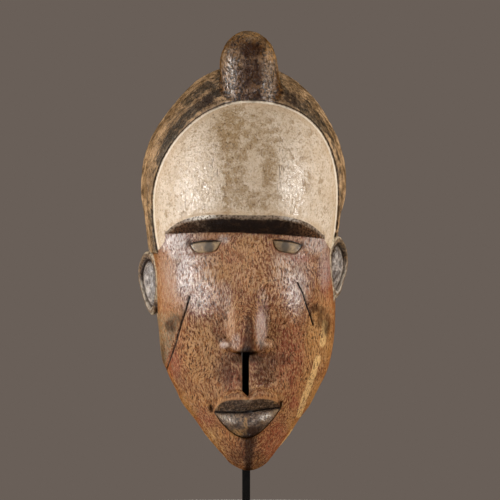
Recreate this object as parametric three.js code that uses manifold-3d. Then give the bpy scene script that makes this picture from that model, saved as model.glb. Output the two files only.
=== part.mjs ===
// A face mask of carved and painted wood, held up on a black steel rod that stands in a steel plate.
// Millimetres, +Z up. The mask faces -Y, and +X lies on the right of someone who faces it: left and right in
// names are theirs. The origin is the centre of the plate's underside.
import * as THREE from "three";
import { mergeVertices } from "three/addons/utils/BufferGeometryUtils.js";
import Module from "manifold-3d";

const wasm = await Module();
wasm.setup();

// Driving dimensions of the stand
const plate = { width: 140, depth: 120, thickness: 12, corner: 6, bevel: 1 };
const bar = { size: 7, socketDepth: 6, crossHalfWidth: 26, crossDrop: 9, armHeight: 32, clearance: 1.5 };
const gap = 0.3; // between touching pieces
const chinHeight = 80; // the chin's tip above the surface that the plate stands on

// Driving dimensions of the mask, in its own frame: z is the height above the chin's tip, y is 0 at the rod
const crown = { centre: 245, rise: 107, forehead: 93 };
const chinRounding = 9;
const backDepth = 130;
const wall = { side: 9, front: 12, top: 15, chin: 13 };
const hollow = { chinRounding: 12, backDepth: 170, squareness: 2.3 };
const rim = { back: 60, straightFrom: 150, chinEnd: -22 };
const hairline = {
  left: { halfWidth: 81, fullness: 1.85 }, right: { halfWidth: 80, fullness: 2.5 },
  springHeight: 232, rise: 87, narrowing: 20, behind: -8,
};
const hair = { raise: 2, overEar: 188, atRim: 145 };
const brow = { x: -0.9, halfWidth: 70, bottom: 205.5, height: 15.5, tilt: 2.2, droop: 3.2 };
const browEdge = { endHeight: 3, fade: 10, proud: 1.5, bevel: 1.4 };
const eyes = [
  { name: "left_eye_inset", x: -35, z: 197, halfLength: 13.7, turn: 12, outerDrop: 4 },
  { name: "right_eye_inset", x: 35.6, z: 197, halfLength: 13, turn: -12, outerDrop: -9 },
];
const eyePocket = { above: 1.2, below: 7.6, depth: 4.2, clear: 12, insetThickness: 2.2 };
const eyeEnds = { inner: 3, outer: 4 }; // exponents of the lower edge: the outer end is the blunter one
const socket = { halfWidth: 23, halfHeight: 11, depth: 1.8 };
const nose = { x: 0.4, halfWidth: 18, gathers: 40, hang: 3.2, wingX: 14.2, wingZ: 110.5 };
const noseFlank = { crisp: 1.15, soft: 2, crispBelow: 122, softAbove: 158 };
const noseWing = { width: 9, height: 7.5, depth: 12 };
const slot = { x: -0.5, width: 6, top: 104, bottom: 65.5, pointX: 1.8 };
const mouth = { x: 1.2, halfWidth: 28.5, line: 52.2, lift: 3.6 };
const lips = { upperHeight: 17.8, notch: 5, lowerHeight: 22, upper: 6.5, lower: 9, inner: 2.5, fade: 2.6 };
const muzzle = { height: 58, halfWidth: 50, halfHeight: 48, depth: 3.5 };
const ears = [
  { side: -1, x: -84.5, y: -25, z: 162, halfHeight: 28, lean: 8 },
  { side: 1, x: 79.8, y: -25, z: 176, halfHeight: 27, lean: 4.5 },
];
const ear = { halfWidth: 15, facing: 50, root: 16, taper: 0.45, crownTaper: 0.12 };
const knob = {
  x: 5, y: -45.5, radius: 24.8, foot: 318, shoulder: 350, top: 380.5, lean: 4, tilt: 5, root: 18,
};

// Stations up the mask: [height, value]
const halfWidths = [
  [0, 12.5], [8, 17.8], [15, 23.6], [29, 35.5], [43, 45.1], [56, 54.9], [70, 62.5], [84, 69.6], [98, 73.6],
  [118, 76.6], [132, 78], [150, 79], [185, 80], [200, 81.3], [212, 82.8], [224, 84.5], [238, 87.6],
  [260, 88.3], [290, 87.8], [312, 85], [330, 84.5], [352, 88],
];
const middles = [
  [0, 2], [15, 1.5], [60, 0.6], [118, 0.7], [150, -1], [200, -3.3], [215, -3.4], [240, -2.4], [290, -1.4],
  [320, 0.3],
];
const sectionCentres = [[0, -36], [40, -24], [90, -10], [150, -2], [245, 0]];
const faceFronts = [[0, -53], [10, -60], [25, -66], [45, -71], [70, -74.5], [100, -77], [150, -79]];
const noseHeights = [
  [100, 0], [104, 1], [106.5, 17], [111, 20], [120, 18], [131, 14], [140, 9.6], [150, 4.8], [160, 1.8],
  [172, 0.6], [186, 0],
];
const noseWidths = [
  [104, 17], [112, 18], [120, 17.6], [131, 16], [146, 14], [160, 13], [175, 12], [196, 11],
];

// Exponents of the sections: 2 is round and more is squarer
const faceSquareness = [[0, 1.9], [30, 2], [60, 2.4], [110, 2.7]];
const foreheadSquareness = 2.15;
const backSquareness = 3;

const clamp01 = (t) => Math.min(1, Math.max(0, t));
const mix = (a, b, t) => a + (b - a) * t;
const hump = (t) => (Math.abs(t) < 1 ? (1 - t * t) ** 2 : 0);
function smooth(from, to, x) {
  const t = clamp01((x - from) / (to - from));
  return t * t * (3 - 2 * t);
}

// A smooth curve through the stations, held at its end values
function along(stations, z) {
  const last = stations.length - 1;
  if (z <= stations[0][0]) return stations[0][1];
  if (z >= stations[last][0]) return stations[last][1];
  const i = stations.findIndex(([height]) => height > z) - 1;
  const slope = (k) => {
    const [z0, v0] = stations[Math.max(0, k - 1)];
    const [z1, v1] = stations[Math.min(last, k + 1)];
    return (v1 - v0) / (z1 - z0);
  };
  const [za, va] = stations[i];
  const [zb, vb] = stations[i + 1];
  const span = zb - za;
  const t = (z - za) / span;
  const start = va * (1 + 2 * t) * (1 - t) ** 2 + slope(i) * span * t * (1 - t) ** 2;
  const end = vb * t * t * (3 - 2 * t) + slope(i + 1) * span * t * t * (t - 1);
  return start + end;
}

// The head's section at a height. It closes round the crown and the chin's tip.
function section(z, raise) {
  const above = (z - crown.centre) / (crown.rise + raise);
  const below = (chinRounding - z) / chinRounding;
  const t = clamp01(Math.max(above, below));
  const close = Math.sqrt(1 - t * t);
  const reach = (along(halfWidths, z) + raise) * close;
  return { close, reach, middle: along(middles, z), centre: along(sectionCentres, z) };
}

// Depth of a section in front of its centre, as a share of its full depth, at a share of its half-width
const bulge = (share, exponent) => (1 - Math.min(1, Math.abs(share)) ** exponent) ** (1 / exponent);

// The brow's two edges. It ends at a share of 1 and fades into the temples beyond.
const acrossBrow = (x) => (x - brow.x) / brow.halfWidth;
const beyondBrow = (x) => browEdge.fade * smooth(0.95, 1.15, Math.abs(acrossBrow(x)));
function browBottom(x) {
  const share = acrossBrow(x);
  return brow.bottom - brow.tilt * share - brow.droop * share * share - beyondBrow(x);
}
function browTop(x) {
  const height = brow.height * (1 - Math.abs(acrossBrow(x)) ** 5);
  return browBottom(x) + Math.max(browEdge.endHeight, height) + 2 * beyondBrow(x);
}

// 0 on the face and 1 on the forehead, with a crisp inner corner under the brow and a rounded edge on top
function overBrow(x, z) {
  const t = clamp01((z - browBottom(x)) / (browTop(x) - browBottom(x)));
  return 1 - (1 - t) ** 1.8;
}

// The brow stands a little proud of the forehead, with a bevel along its top
const browCrest = (x) => browTop(x) + browEdge.bevel;
function browRelief(x, z) {
  const along01 = 1 - smooth(0.8, 1, Math.abs(acrossBrow(x)));
  return browEdge.proud * along01 * overBrow(x, z) * (1 - clamp01((z - browTop(x)) / browEdge.bevel));
}

function noseRelief(x, z) {
  const across = Math.abs(x - nose.x) / along(noseWidths, z);
  const hang = nose.hang * (1 - smooth(0, 1, across)) * (1 - smooth(106, 116, z));
  const flank = mix(noseFlank.crisp, noseFlank.soft, smooth(noseFlank.crispBelow, noseFlank.softAbove, z));
  const ridge = across < 1 ? along(noseHeights, z + hang) * (1 - across ** 2.6) ** flank : 0;
  const wings = [-1, 1].map((side) => {
    const u = (x - nose.x - side * nose.wingX) / noseWing.width;
    const v = (z - nose.wingZ) / noseWing.height;
    return noseWing.depth * hump(Math.hypot(u, v));
  });
  return Math.max(ridge, ...wings);
}

// The three contours of the mouth: the line between the lips, and the lips' outer edges
const acrossMouth = (x) => Math.min(1, Math.abs(x - mouth.x) / mouth.halfWidth);
const lipLine = (x) => mouth.line + mouth.lift * smooth(-6, 28, x);
function lipTop(x) {
  const arch = lips.upperHeight * (1 - acrossMouth(x) ** 4) ** 0.7;
  return lipLine(x) + arch - lips.notch * hump((x - slot.pointX) / 7);
}
const lipBottom = (x) => lipLine(x) - lips.lowerHeight * (1 - acrossMouth(x) ** 2);

function mouthRelief(x, z) {
  const inside = 1 - acrossMouth(x) ** 6;
  const line = lipLine(x);
  if (z >= line) {
    const up = (z - line) / Math.max(1, lipTop(x) - line);
    const proud = mix(lips.inner, lips.upper, smooth(0, 0.75, up));
    return inside * proud * (1 - smooth(lipTop(x) - lips.fade, lipTop(x) + lips.fade, z));
  }
  const down = (line - z) / Math.max(1, line - lipBottom(x));
  const swell = 1 - (1 - clamp01(down / 0.55)) ** 2;
  const proud = mix(lips.inner, lips.lower, swell) - 2.5 * smooth(0.5, 1, down);
  return inside * proud * (1 - smooth(lipBottom(x) + lips.fade / 2, lipBottom(x) - lips.fade, z));
}

function socketRelief(x, z) {
  const away = eyes.map((e) => Math.hypot((x - e.x) / socket.halfWidth, (z - e.z) / socket.halfHeight));
  return -socket.depth * hump(Math.min(...away));
}

function muzzleRelief(x, z) {
  const away = Math.hypot((x - mouth.x) / muzzle.halfWidth, (z - muzzle.height) / muzzle.halfHeight);
  return muzzle.depth * hump(away);
}

// The front of the head: y at a place across and up
function frontOf(x, z, raise = 0) {
  const { close, reach, middle, centre } = section(z, raise);
  const forehead = overBrow(x, z);
  const depth = close * (mix(centre - along(faceFronts, z), crown.forehead + centre, forehead) + raise);
  const squareness = mix(along(faceSquareness, z), foreheadSquareness, forehead);
  const share = reach > 0 ? (x - middle) / reach : 1;
  const reliefs = [noseRelief, mouthRelief, socketRelief, muzzleRelief, browRelief];
  const carving = reliefs.reduce((sum, relief) => sum + relief(x, z), 0);
  return centre - depth * bulge(share, squareness) - carving * bulge(share, 4);
}

// The head's rows of vertices follow the brow and the lips: heights up the middle and what they become at x
const rowGuides = [
  { reach: (x) => 1 - smooth(1, 1.7, Math.abs(x - mouth.x) / mouth.halfWidth), from: 12, to: 88, least: 2.5,
    edges: [lipBottom, lipLine, lipTop], middle: mouth.x },
  { reach: (x) => 1 - smooth(1, 1.2, Math.abs(acrossBrow(x))), from: 197, to: 232, least: 1.4,
    edges: [browBottom, browTop, browCrest], middle: brow.x },
];
function rowHeightAt(x, height) {
  const guide = rowGuides.find(({ from, to }) => height > from && height < to);
  if (!guide) return height;
  const before = [guide.from, ...guide.edges.map((edge) => edge(guide.middle)), guide.to];
  const after = [guide.from, ...guide.edges.map((edge) => edge(x)), guide.to];
  for (let k = 1; k + 1 < after.length; k++) after[k] = Math.max(after[k], after[k - 1] + guide.least);
  const k = before.findIndex((edge) => edge > height) - 1;
  const moved = mix(after[k], after[k + 1], (height - before[k]) / (before[k + 1] - before[k]));
  return mix(height, moved, guide.reach(x));
}

// The columns of vertices close in on the nose, whose sides narrow upwards
function columnAt(x, z) {
  const off = Math.abs(x - nose.x);
  if (off > nose.gathers) return x;
  const width = along(noseWidths, z);
  const inside = (off / nose.halfWidth) * width;
  const outside = mix(width, nose.gathers, (off - nose.halfWidth) / (nose.gathers - nose.halfWidth));
  const held = smooth(98, 106, z) * (1 - smooth(180, 200, z));
  return nose.x + Math.sign(x - nose.x) * mix(off, off < nose.halfWidth ? inside : outside, held);
}

// Evenly spaced values within bands of [from, to, count]
function spread(bands) {
  const values = bands.flatMap(([from, to, count]) => {
    return Array.from({ length: count }, (_, k) => mix(from, to, k / count));
  });
  return [...values, bands[bands.length - 1][1]];
}

// A closed surface from rings of equal length between two poles
function closedRings(bottom, rings, top) {
  const count = rings[0].length;
  const points = [bottom, ...rings.flat(), top];
  const index = [];
  const at = (row, k) => 1 + row * count + ((k + count) % count);
  for (let k = 0; k < count; k++) {
    index.push(0, at(0, k + 1), at(0, k));
    index.push(points.length - 1, at(rings.length - 1, k), at(rings.length - 1, k + 1));
    for (let row = 0; row + 1 < rings.length; row++) {
      index.push(at(row, k), at(row, k + 1), at(row + 1, k));
      index.push(at(row, k + 1), at(row + 1, k + 1), at(row + 1, k));
    }
  }
  const geometry = new THREE.BufferGeometry().setFromPoints(points);
  geometry.setIndex(index);
  return geometry;
}

// Shares of the half-width at which a section has its vertices: close in the middle and at the sides
function frontShares(count) {
  return Array.from({ length: count + 1 }, (_, k) => {
    const u = (2 * k) / count - 1;
    return Math.sin((Math.PI / 2) * u * (0.62 + 0.38 * Math.abs(u)));
  });
}
function backShares(count) {
  return Array.from({ length: count - 1 }, (_, k) => Math.cos((Math.PI * (k + 1)) / count));
}

// The heights of the crown's rows, evenly spaced round its curve up to its top
function crownRows(from, count, rise) {
  const start = Math.asin((from - crown.centre) / rise);
  const turns = Array.from({ length: count }, (_, k) => mix(start, Math.PI / 2, k / count));
  return turns.map((turn) => crown.centre + rise * Math.sin(turn));
}

function headSkin(raise, heights, columns) {
  const rings = heights.map((height) => {
    const level = section(height, raise);
    const front = frontShares(columns).map((share) => {
      const z = rowHeightAt(level.middle + share * level.reach, height);
      const { middle, reach } = section(z, raise);
      const x = columnAt(middle + share * reach, z);
      return new THREE.Vector3(x, frontOf(x, z, raise), z);
    });
    const back = backShares(7).map((share) => {
      const y = level.centre + level.close * backDepth * bulge(share, backSquareness);
      return new THREE.Vector3(level.middle + share * level.reach, y, height);
    });
    return [...front, ...back];
  });
  const topHeight = crown.centre + crown.rise + raise;
  const foot = heights[0] > chinRounding ? heights[0] : 0;
  const bottom = new THREE.Vector3(along(middles, foot), along(sectionCentres, foot), foot);
  return closedRings(bottom, rings, new THREE.Vector3(along(middles, topHeight), 0, topHeight));
}

function headGeometry() {
  const rows = spread([
    [0.6, 9, 3], [9, 30.2, 3], [30.2, 52.5, 6], [52.5, 65.5, 4], [65.5, 70, 2], [70, 88, 3], [88, 100, 2],
    [100, 109, 5], [109, 124, 3], [124, 188, 6], [188, 205.5, 3], [205.5, 221, 5], [221, 222.4, 1],
    [222.4, 250, 3],
  ]);
  return headSkin(0, [...rows, ...crownRows(262, 7, crown.rise)], 44);
}

// The front view's outline of the face and forehead, which the hair stands proud of
function hairlinePrism() {
  const outline = new THREE.Shape();
  const low = 130;
  const aboveEar = 190;
  const reach = (side, z) => {
    const under = (z - hairline.springHeight) / hairline.rise;
    return side.halfWidth - hairline.narrowing * under * under;
  };
  outline.moveTo(-reach(hairline.left, low), low);
  outline.lineTo(reach(hairline.right, low), low);
  outline.lineTo(reach(hairline.right, aboveEar), aboveEar);
  const steps = 30;
  for (let k = 0; k <= steps; k++) {
    // The arch is fuller on the right than on the left.
    const turn = (Math.PI * k) / steps;
    const side = k < steps / 2 ? hairline.right : hairline.left;
    const across = Math.sign(Math.cos(turn)) * Math.abs(Math.cos(turn)) ** (2 / side.fullness);
    const up = Math.sin(turn) ** (2 / side.fullness);
    outline.lineTo(side.halfWidth * across, hairline.springHeight + hairline.rise * up);
  }
  outline.lineTo(-reach(hairline.left, aboveEar), aboveEar);
  const geometry = new THREE.ExtrudeGeometry(outline, { depth: 200, bevelEnabled: false });
  return geometry.rotateX(Math.PI / 2).translate(0, hairline.behind, 0);
}

// Extrudes a shape drawn in y and z from side to side
function acrossHead(shape, curveSegments) {
  const geometry = new THREE.ExtrudeGeometry(shape, { depth: 400, bevelEnabled: false, curveSegments });
  return geometry.translate(0, 0, -200).rotateY(Math.PI / 2).rotateX(Math.PI / 2);
}

// Everything under the hair: its lower edge runs from over the ear down to the rim
function underHair() {
  const shape = new THREE.Shape();
  shape.moveTo(-300, 100);
  shape.lineTo(100, 100);
  shape.lineTo(100, hair.atRim - 8);
  shape.lineTo(rim.back, hair.atRim);
  shape.quadraticCurveTo(10, hair.overEar - 2, -30, hair.overEar);
  shape.lineTo(-300, hair.overEar);
  return acrossHead(shape, 6);
}

function hairGeometry() {
  const rows = [...spread([[120, 205, 6], [205, 250, 4]]), ...crownRows(262, 8, crown.rise + hair.raise)];
  return headSkin(hair.raise, rows, 26);
}

// The inside of the mask, which has plain hollowed sections and runs out of the back
const hollowTop = crown.centre + crown.rise - wall.top;
function hollowSection(z) {
  const above = (z - crown.centre) / (hollowTop - crown.centre);
  const below = (wall.chin + hollow.chinRounding - z) / hollow.chinRounding;
  const t = clamp01(Math.max(above, below));
  const close = Math.sqrt(1 - t * t);
  const centre = along(sectionCentres, z);
  const face = centre - along(faceFronts, z) - wall.front;
  const forehead = crown.forehead + centre - wall.front;
  const overFace = smooth(brow.bottom, brow.bottom + 30, z);
  return {
    centre,
    middle: along(middles, z),
    reach: (along(halfWidths, z) - wall.side) * close,
    depth: mix(face, forehead, overFace) * close,
    back: hollow.backDepth * close,
  };
}

function hollowGeometry() {
  const rings = spread([
    [14, 26, 3], [26, 98, 7], [98, 200, 6], [200, 240, 4], [240, 318, 6], [318, hollowTop - 1, 4],
  ]).map((z) => {
    const s = hollowSection(z);
    const point = (share, y) => new THREE.Vector3(s.middle + share * s.reach, y, z);
    const before = (share) => s.centre - s.depth * bulge(share, hollow.squareness);
    const behind = (share) => s.centre + s.back * bulge(share, backSquareness);
    const front = frontShares(18).map((share) => point(share, before(share)));
    const back = backShares(6).map((share) => point(share, behind(share)));
    return [...front, ...back];
  });
  const bottom = new THREE.Vector3(along(middles, wall.chin), along(sectionCentres, wall.chin), wall.chin);
  return closedRings(bottom, rings, new THREE.Vector3(along(middles, hollowTop), 0, hollowTop));
}

// Everything behind the rim, which is upright at the head and slants forward to the chin
function behindRim() {
  const shape = new THREE.Shape();
  shape.moveTo(rim.chinEnd - 5, -10);
  shape.lineTo(rim.chinEnd, 0);
  shape.lineTo(rim.back, rim.straightFrom);
  shape.lineTo(rim.back, 400);
  shape.lineTo(300, 400);
  shape.lineTo(300, -10);
  return acrossHead(shape, 1);
}

// An ear is a leaf-shaped bowl with a raised middle and a rim, on a root that runs into the head
function earGeometry(e) {
  const a = ear.halfWidth;
  const profile = [
    [0, -ear.root], [0.45, -ear.root], [0.76, -8.5], [0.98, -3], [1, -0.6], [0.93, 1], [0.82, 0.7],
    [0.74, -2.4], [0.66, -1.8], [0.52, 0.4], [0.28, 1.3], [0, 1.6],
  ].map(([radius, height]) => new THREE.Vector2(radius * a, height));
  const geometry = new THREE.LatheGeometry(profile, 22);
  const place = geometry.attributes.position;
  for (let k = 0; k < place.count; k++) {
    // The lathe's axis is its y; the ear's long axis is z, and its lower end is the pointed one.
    const up = place.getZ(k) / a;
    const narrow = 1 - ear.taper * smooth(0.45, -1, up) - ear.crownTaper * smooth(0.5, 1, up);
    place.setXYZ(k, place.getX(k) * narrow, -place.getY(k), up * e.halfHeight);
  }
  // Mirroring the depth axis turned the faces round, so they are turned back.
  const order = geometry.index.array;
  for (let k = 0; k < order.length; k += 3) [order[k + 1], order[k + 2]] = [order[k + 2], order[k + 1]];
  geometry.rotateY(THREE.MathUtils.degToRad(e.side * e.lean));
  geometry.rotateZ(THREE.MathUtils.degToRad(e.side * ear.facing));
  return geometry.translate(e.x, e.y, e.z);
}

// The knob of hair over the forehead, a thumb-like form that flares into the crown
function knobGeometry() {
  const dome = knob.top - knob.shoulder;
  const steps = 7;
  const profile = [
    new THREE.Vector2(0, knob.foot - knob.root),
    new THREE.Vector2(knob.radius * 0.9, knob.foot - knob.root),
    new THREE.Vector2(knob.radius, knob.foot),
    new THREE.Vector2(knob.radius * 1.02, knob.foot + 16),
  ];
  for (let k = 0; k <= steps; k++) {
    const turn = (Math.PI / 2) * (k / steps);
    const radius = k === steps ? 0 : knob.radius * Math.cos(turn);
    profile.push(new THREE.Vector2(radius, knob.shoulder + dome * Math.sin(turn)));
  }
  const geometry = new THREE.LatheGeometry(profile, 24);
  geometry.rotateX(Math.PI / 2);
  geometry.translate(0, 0, -knob.foot);
  geometry.rotateX(THREE.MathUtils.degToRad(knob.lean));
  geometry.rotateY(THREE.MathUtils.degToRad(-knob.tilt));
  return geometry.translate(knob.x, knob.y, knob.foot);
}

// The upright slot under the nose, which comes to a point in the upper lip
function slotGeometry() {
  const half = slot.width / 2;
  const shape = new THREE.Shape();
  shape.moveTo(slot.x - half - 0.4, slot.top);
  shape.lineTo(slot.x - half, slot.top - 9);
  shape.lineTo(slot.x - half, slot.bottom + 5);
  shape.lineTo(slot.pointX, slot.bottom);
  shape.lineTo(slot.x + half, slot.bottom + 2.5);
  shape.lineTo(slot.x + half, slot.top - 9);
  shape.lineTo(slot.x + half + 0.6, slot.top);
  const geometry = new THREE.ExtrudeGeometry(shape, { depth: 60, bevelEnabled: false });
  return geometry.rotateX(Math.PI / 2).translate(0, -50, 0);
}

// The outline of an eye: a nearly straight upper edge, a full lower one and a blunt outer end
function eyeShape(e, halfLength, above, below) {
  const steps = 9;
  const lower = (share) => {
    const fullness = share * e.x > 0 ? eyeEnds.outer : eyeEnds.inner;
    return -below * (1 - Math.abs(share) ** fullness);
  };
  const shares = Array.from({ length: steps }, (_, k) => Math.sin(Math.PI * (k / steps - 0.5)));
  const under = shares.map((share) => new THREE.Vector2(share * halfLength, lower(share)));
  const over = shares.map((share) => new THREE.Vector2(-share * halfLength, above * (1 - share ** 2)));
  return new THREE.Shape([...under, ...over]);
}

// A slab of a shape at an eye, between two depths behind the skin and square to it
function slabAtEye(e, shape, nearDepth, farDepth) {
  const depth = farDepth - nearDepth;
  const geometry = new THREE.ExtrudeGeometry(shape, { depth, bevelEnabled: false, curveSegments: 5 });
  geometry.translate(0, 0, -farDepth);
  geometry.rotateX(Math.PI / 2);
  geometry.rotateY(THREE.MathUtils.degToRad(-e.outerDrop));
  geometry.rotateZ(THREE.MathUtils.degToRad(-e.turn));
  return geometry.translate(e.x, frontOf(e.x, e.z), e.z);
}

function insetGeometry(e) {
  const outline = eyeShape(e, e.halfLength - 1.2, eyePocket.above - gap, eyePocket.below - 2 * gap);
  const back = eyePocket.depth - gap;
  return slabAtEye(e, outline, back - eyePocket.insetThickness, back);
}

// Solids for joining and cutting, and back
function solid(geometry) {
  const bare = geometry.index ? geometry.toNonIndexed() : geometry.clone();
  bare.deleteAttribute("normal");
  bare.deleteAttribute("uv");
  const merged = mergeVertices(bare, 1e-3);
  return new wasm.Manifold(
    new wasm.Mesh({
      numProp: 3,
      vertProperties: new Float32Array(merged.attributes.position.array),
      triVerts: new Uint32Array(merged.index.array),
    }),
  );
}

function geometryOf(manifold) {
  const mesh = manifold.getMesh();
  const geometry = new THREE.BufferGeometry();
  geometry.setAttribute("position", new THREE.BufferAttribute(mesh.vertProperties, 3));
  geometry.setIndex(new THREE.BufferAttribute(mesh.triVerts, 1));
  geometry.computeVertexNormals();
  return geometry;
}

function maskGeometry() {
  const hairSolid = solid(hairGeometry()).subtract(solid(hairlinePrism())).subtract(solid(underHair()));
  let carved = solid(headGeometry()).add(hairSolid).add(solid(knobGeometry()));
  for (const e of ears) carved = carved.add(solid(earGeometry(e)));
  for (const cut of [hollowGeometry(), behindRim(), slotGeometry()]) carved = carved.subtract(solid(cut));
  for (const e of eyes) {
    const outline = eyeShape(e, e.halfLength, eyePocket.above, eyePocket.below);
    carved = carved.subtract(solid(slabAtEye(e, outline, -eyePocket.clear, eyePocket.depth)));
  }
  return geometryOf(carved);
}

// The stand's bar: upright, with a bowed crosspiece under the crown and an arm to the inside of the chin
function barGeometry() {
  const half = bar.size / 2;
  const ceiling = (x) => {
    const share = (x - along(middles, hollowTop)) / hollowSection(crown.centre).reach;
    const rise = (hollowTop - crown.centre) * Math.sqrt(1 - share * share);
    return chinHeight + crown.centre + rise - bar.clearance;
  };
  const steps = 6;
  const shape = new THREE.Shape();
  shape.moveTo(-half, plate.thickness - bar.socketDepth + gap);
  shape.lineTo(half, plate.thickness - bar.socketDepth + gap);
  shape.lineTo(half, ceiling(half) - bar.crossDrop);
  shape.lineTo(bar.crossHalfWidth, ceiling(bar.crossHalfWidth) - bar.crossDrop * 0.7);
  for (let k = 0; k <= steps; k++) {
    const x = mix(bar.crossHalfWidth, -bar.crossHalfWidth, k / steps);
    shape.lineTo(x, ceiling(x));
  }
  shape.lineTo(-bar.crossHalfWidth, ceiling(-bar.crossHalfWidth) - bar.crossDrop * 0.7);
  shape.lineTo(-half, ceiling(-half) - bar.crossDrop);
  const upright = new THREE.ExtrudeGeometry(shape, { depth: bar.size, bevelEnabled: false });
  upright.rotateX(Math.PI / 2).translate(0, half, 0);
  const level = hollowSection(bar.armHeight - half);
  const share = (Math.abs(level.middle) + half) / level.reach;
  const reach = level.depth * bulge(share, hollow.squareness) - level.centre - bar.clearance;
  const arm = new THREE.BoxGeometry(bar.size, reach, bar.size);
  arm.translate(0, -reach / 2, chinHeight + bar.armHeight);
  return geometryOf(solid(upright).add(solid(arm)));
}

function plateGeometry() {
  const w = plate.width / 2 - plate.corner;
  const d = plate.depth / 2 - plate.corner;
  const shape = new THREE.Shape();
  shape.absarc(w, d, plate.corner - plate.bevel, 0, Math.PI / 2);
  shape.absarc(-w, d, plate.corner - plate.bevel, Math.PI / 2, Math.PI);
  shape.absarc(-w, -d, plate.corner - plate.bevel, Math.PI, Math.PI * 1.5);
  shape.absarc(w, -d, plate.corner - plate.bevel, Math.PI * 1.5, Math.PI * 2);
  const geometry = new THREE.ExtrudeGeometry(shape, {
    depth: plate.thickness - 2 * plate.bevel,
    bevelThickness: plate.bevel,
    bevelSize: plate.bevel,
    bevelSegments: 1,
    curveSegments: 3,
  });
  geometry.translate(0, 0, plate.bevel);
  const hole = bar.size + 2 * gap;
  const socketHole = new THREE.BoxGeometry(hole, hole, 2 * bar.socketDepth);
  socketHole.translate(0, 0, plate.thickness);
  return geometryOf(solid(geometry).subtract(solid(socketHole)));
}

const materials = {
  wood: new THREE.MeshStandardMaterial({ color: 0x9a6a48, roughness: 0.5, metalness: 0 }),
  eye: new THREE.MeshStandardMaterial({ color: 0x9c8c70, roughness: 0.15, metalness: 0 }),
  steel: new THREE.MeshStandardMaterial({ color: 0x141414, roughness: 0.5, metalness: 0.3 }),
};

function piece(name, geometry, material) {
  const mesh = new THREE.Mesh(geometry, material);
  mesh.name = name;
  return mesh;
}

const carvedWork = new THREE.Group();
carvedWork.position.z = chinHeight;
carvedWork.add(piece("mask", maskGeometry(), materials.wood));
for (const e of eyes) carvedWork.add(piece(e.name, insetGeometry(e), materials.eye));

const maskOnStand = new THREE.Group();
maskOnStand.add(carvedWork);
maskOnStand.add(piece("stand_rod", barGeometry(), materials.steel));
maskOnStand.add(piece("stand_plate", plateGeometry(), materials.steel));

export default maskOnStand;
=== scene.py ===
# A carved and painted wooden face mask on its black steel stand.
# Sizes are in millimetres until a mesh is made. The mask's own z counts from the tip of its chin, y is 0 at
# the rod, and left and right are those of someone who faces the mask.
import math

import bpy
import numpy as np
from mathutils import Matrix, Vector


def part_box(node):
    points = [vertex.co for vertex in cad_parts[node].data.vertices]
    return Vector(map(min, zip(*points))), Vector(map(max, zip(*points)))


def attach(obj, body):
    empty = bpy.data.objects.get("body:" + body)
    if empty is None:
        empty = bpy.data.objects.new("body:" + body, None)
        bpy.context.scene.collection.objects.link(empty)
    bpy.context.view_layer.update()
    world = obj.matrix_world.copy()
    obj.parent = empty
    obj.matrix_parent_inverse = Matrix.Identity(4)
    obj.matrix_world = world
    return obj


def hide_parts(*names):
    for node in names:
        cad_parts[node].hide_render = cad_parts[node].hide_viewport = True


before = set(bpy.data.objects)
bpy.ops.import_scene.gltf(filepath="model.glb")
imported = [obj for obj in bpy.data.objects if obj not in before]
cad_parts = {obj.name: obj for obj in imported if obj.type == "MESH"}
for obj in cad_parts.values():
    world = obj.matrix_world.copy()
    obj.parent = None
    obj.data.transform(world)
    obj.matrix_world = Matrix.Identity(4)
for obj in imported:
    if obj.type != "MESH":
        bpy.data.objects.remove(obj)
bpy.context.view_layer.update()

MM = 0.001
CHIN_HEIGHT = 80.0

# The camera
CAMERA_TARGET = (0.0034, -0.06, 0.271)
CAMERA_DISTANCE = 2.5
VIEW_WIDTH = 0.430
SENSOR = 36.0

# The head: sections that close round the crown and the chin's tip
CROWN = {"centre": 245, "rise": 107, "forehead": 93}
CHIN_ROUNDING = 9
BACK_DEPTH = 130
WALL = {"side": 9, "front": 12, "top": 15, "chin": 13}
HOLLOW = {"chin_rounding": 12, "back_depth": 170, "squareness": 2.3}
RIM = {"back": 60, "straight_from": 150, "chin_end": -22}
HAIRLINE = {"spring": 232, "rise": 87, "narrowing": 20, "behind": -8}
HAIRLINE_LEFT = {"half_width": 81, "fullness": 1.85}
HAIRLINE_RIGHT = {"half_width": 80, "fullness": 2.5}
HAIR_RAISE = 2.0
HAIR_FOOT = {"height": 188, "from": -30, "to": 70, "run": 80, "curve": 10, "fall": 4, "sag": 36}
BROW = {"x": -0.9, "half_width": 70, "bottom": 205.5, "height": 15.5, "tilt": 2.2, "droop": 3.2}
BROW_EDGE = {"end_height": 3, "fade": 10, "proud": 1.5, "bevel": 1.4}
BROW_PAINT = {"left_drop": 1.2, "right_drop": 0.1, "over_edge": 0.8, "white_over": 0.3, "ends_at": 0.985}
WHITE_FOOT = {"height": 201, "from_middle": 67, "slope": 1.3}
NOSE = {"x": 0.4, "hang": 3.2, "wing_x": 14.2, "wing_z": 110.5}
NOSE_WING = {"width": 9, "height": 7.5, "depth": 12}
WING_CREASE = {"at": 0.8, "width": 0.16, "depth": 1.5, "inward": 0.7}
NOSE_FLANK = {"crisp": 1.15, "soft": 2, "crisp_below": 122, "soft_above": 158}
SLOT = {"x": -0.5, "width": 6, "top": 104, "bottom": 65.5, "point_x": 1.8, "back": -50}
SLOT_FLARE = {"height": 9, "left": 0.4, "right": 0.6}
SLOT_FOOT = {"left_slope": 0.94, "right_slope": 3}
MOUTH = {"x": 1.2, "half_width": 28.5, "line": 52.2, "lift": 3.6}
LIPS = {"upper_height": 17.8, "notch": 5, "lower_height": 22, "upper": 6.5, "lower": 9, "inner": 2.5}
LIP_FADE = 2.6
LIP_ROLLS = {"upper": 0.75, "lower": 0.55, "undercut": 2.5}
LIP_STAIN = {"left": 11.4, "right": 9.2}
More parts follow.
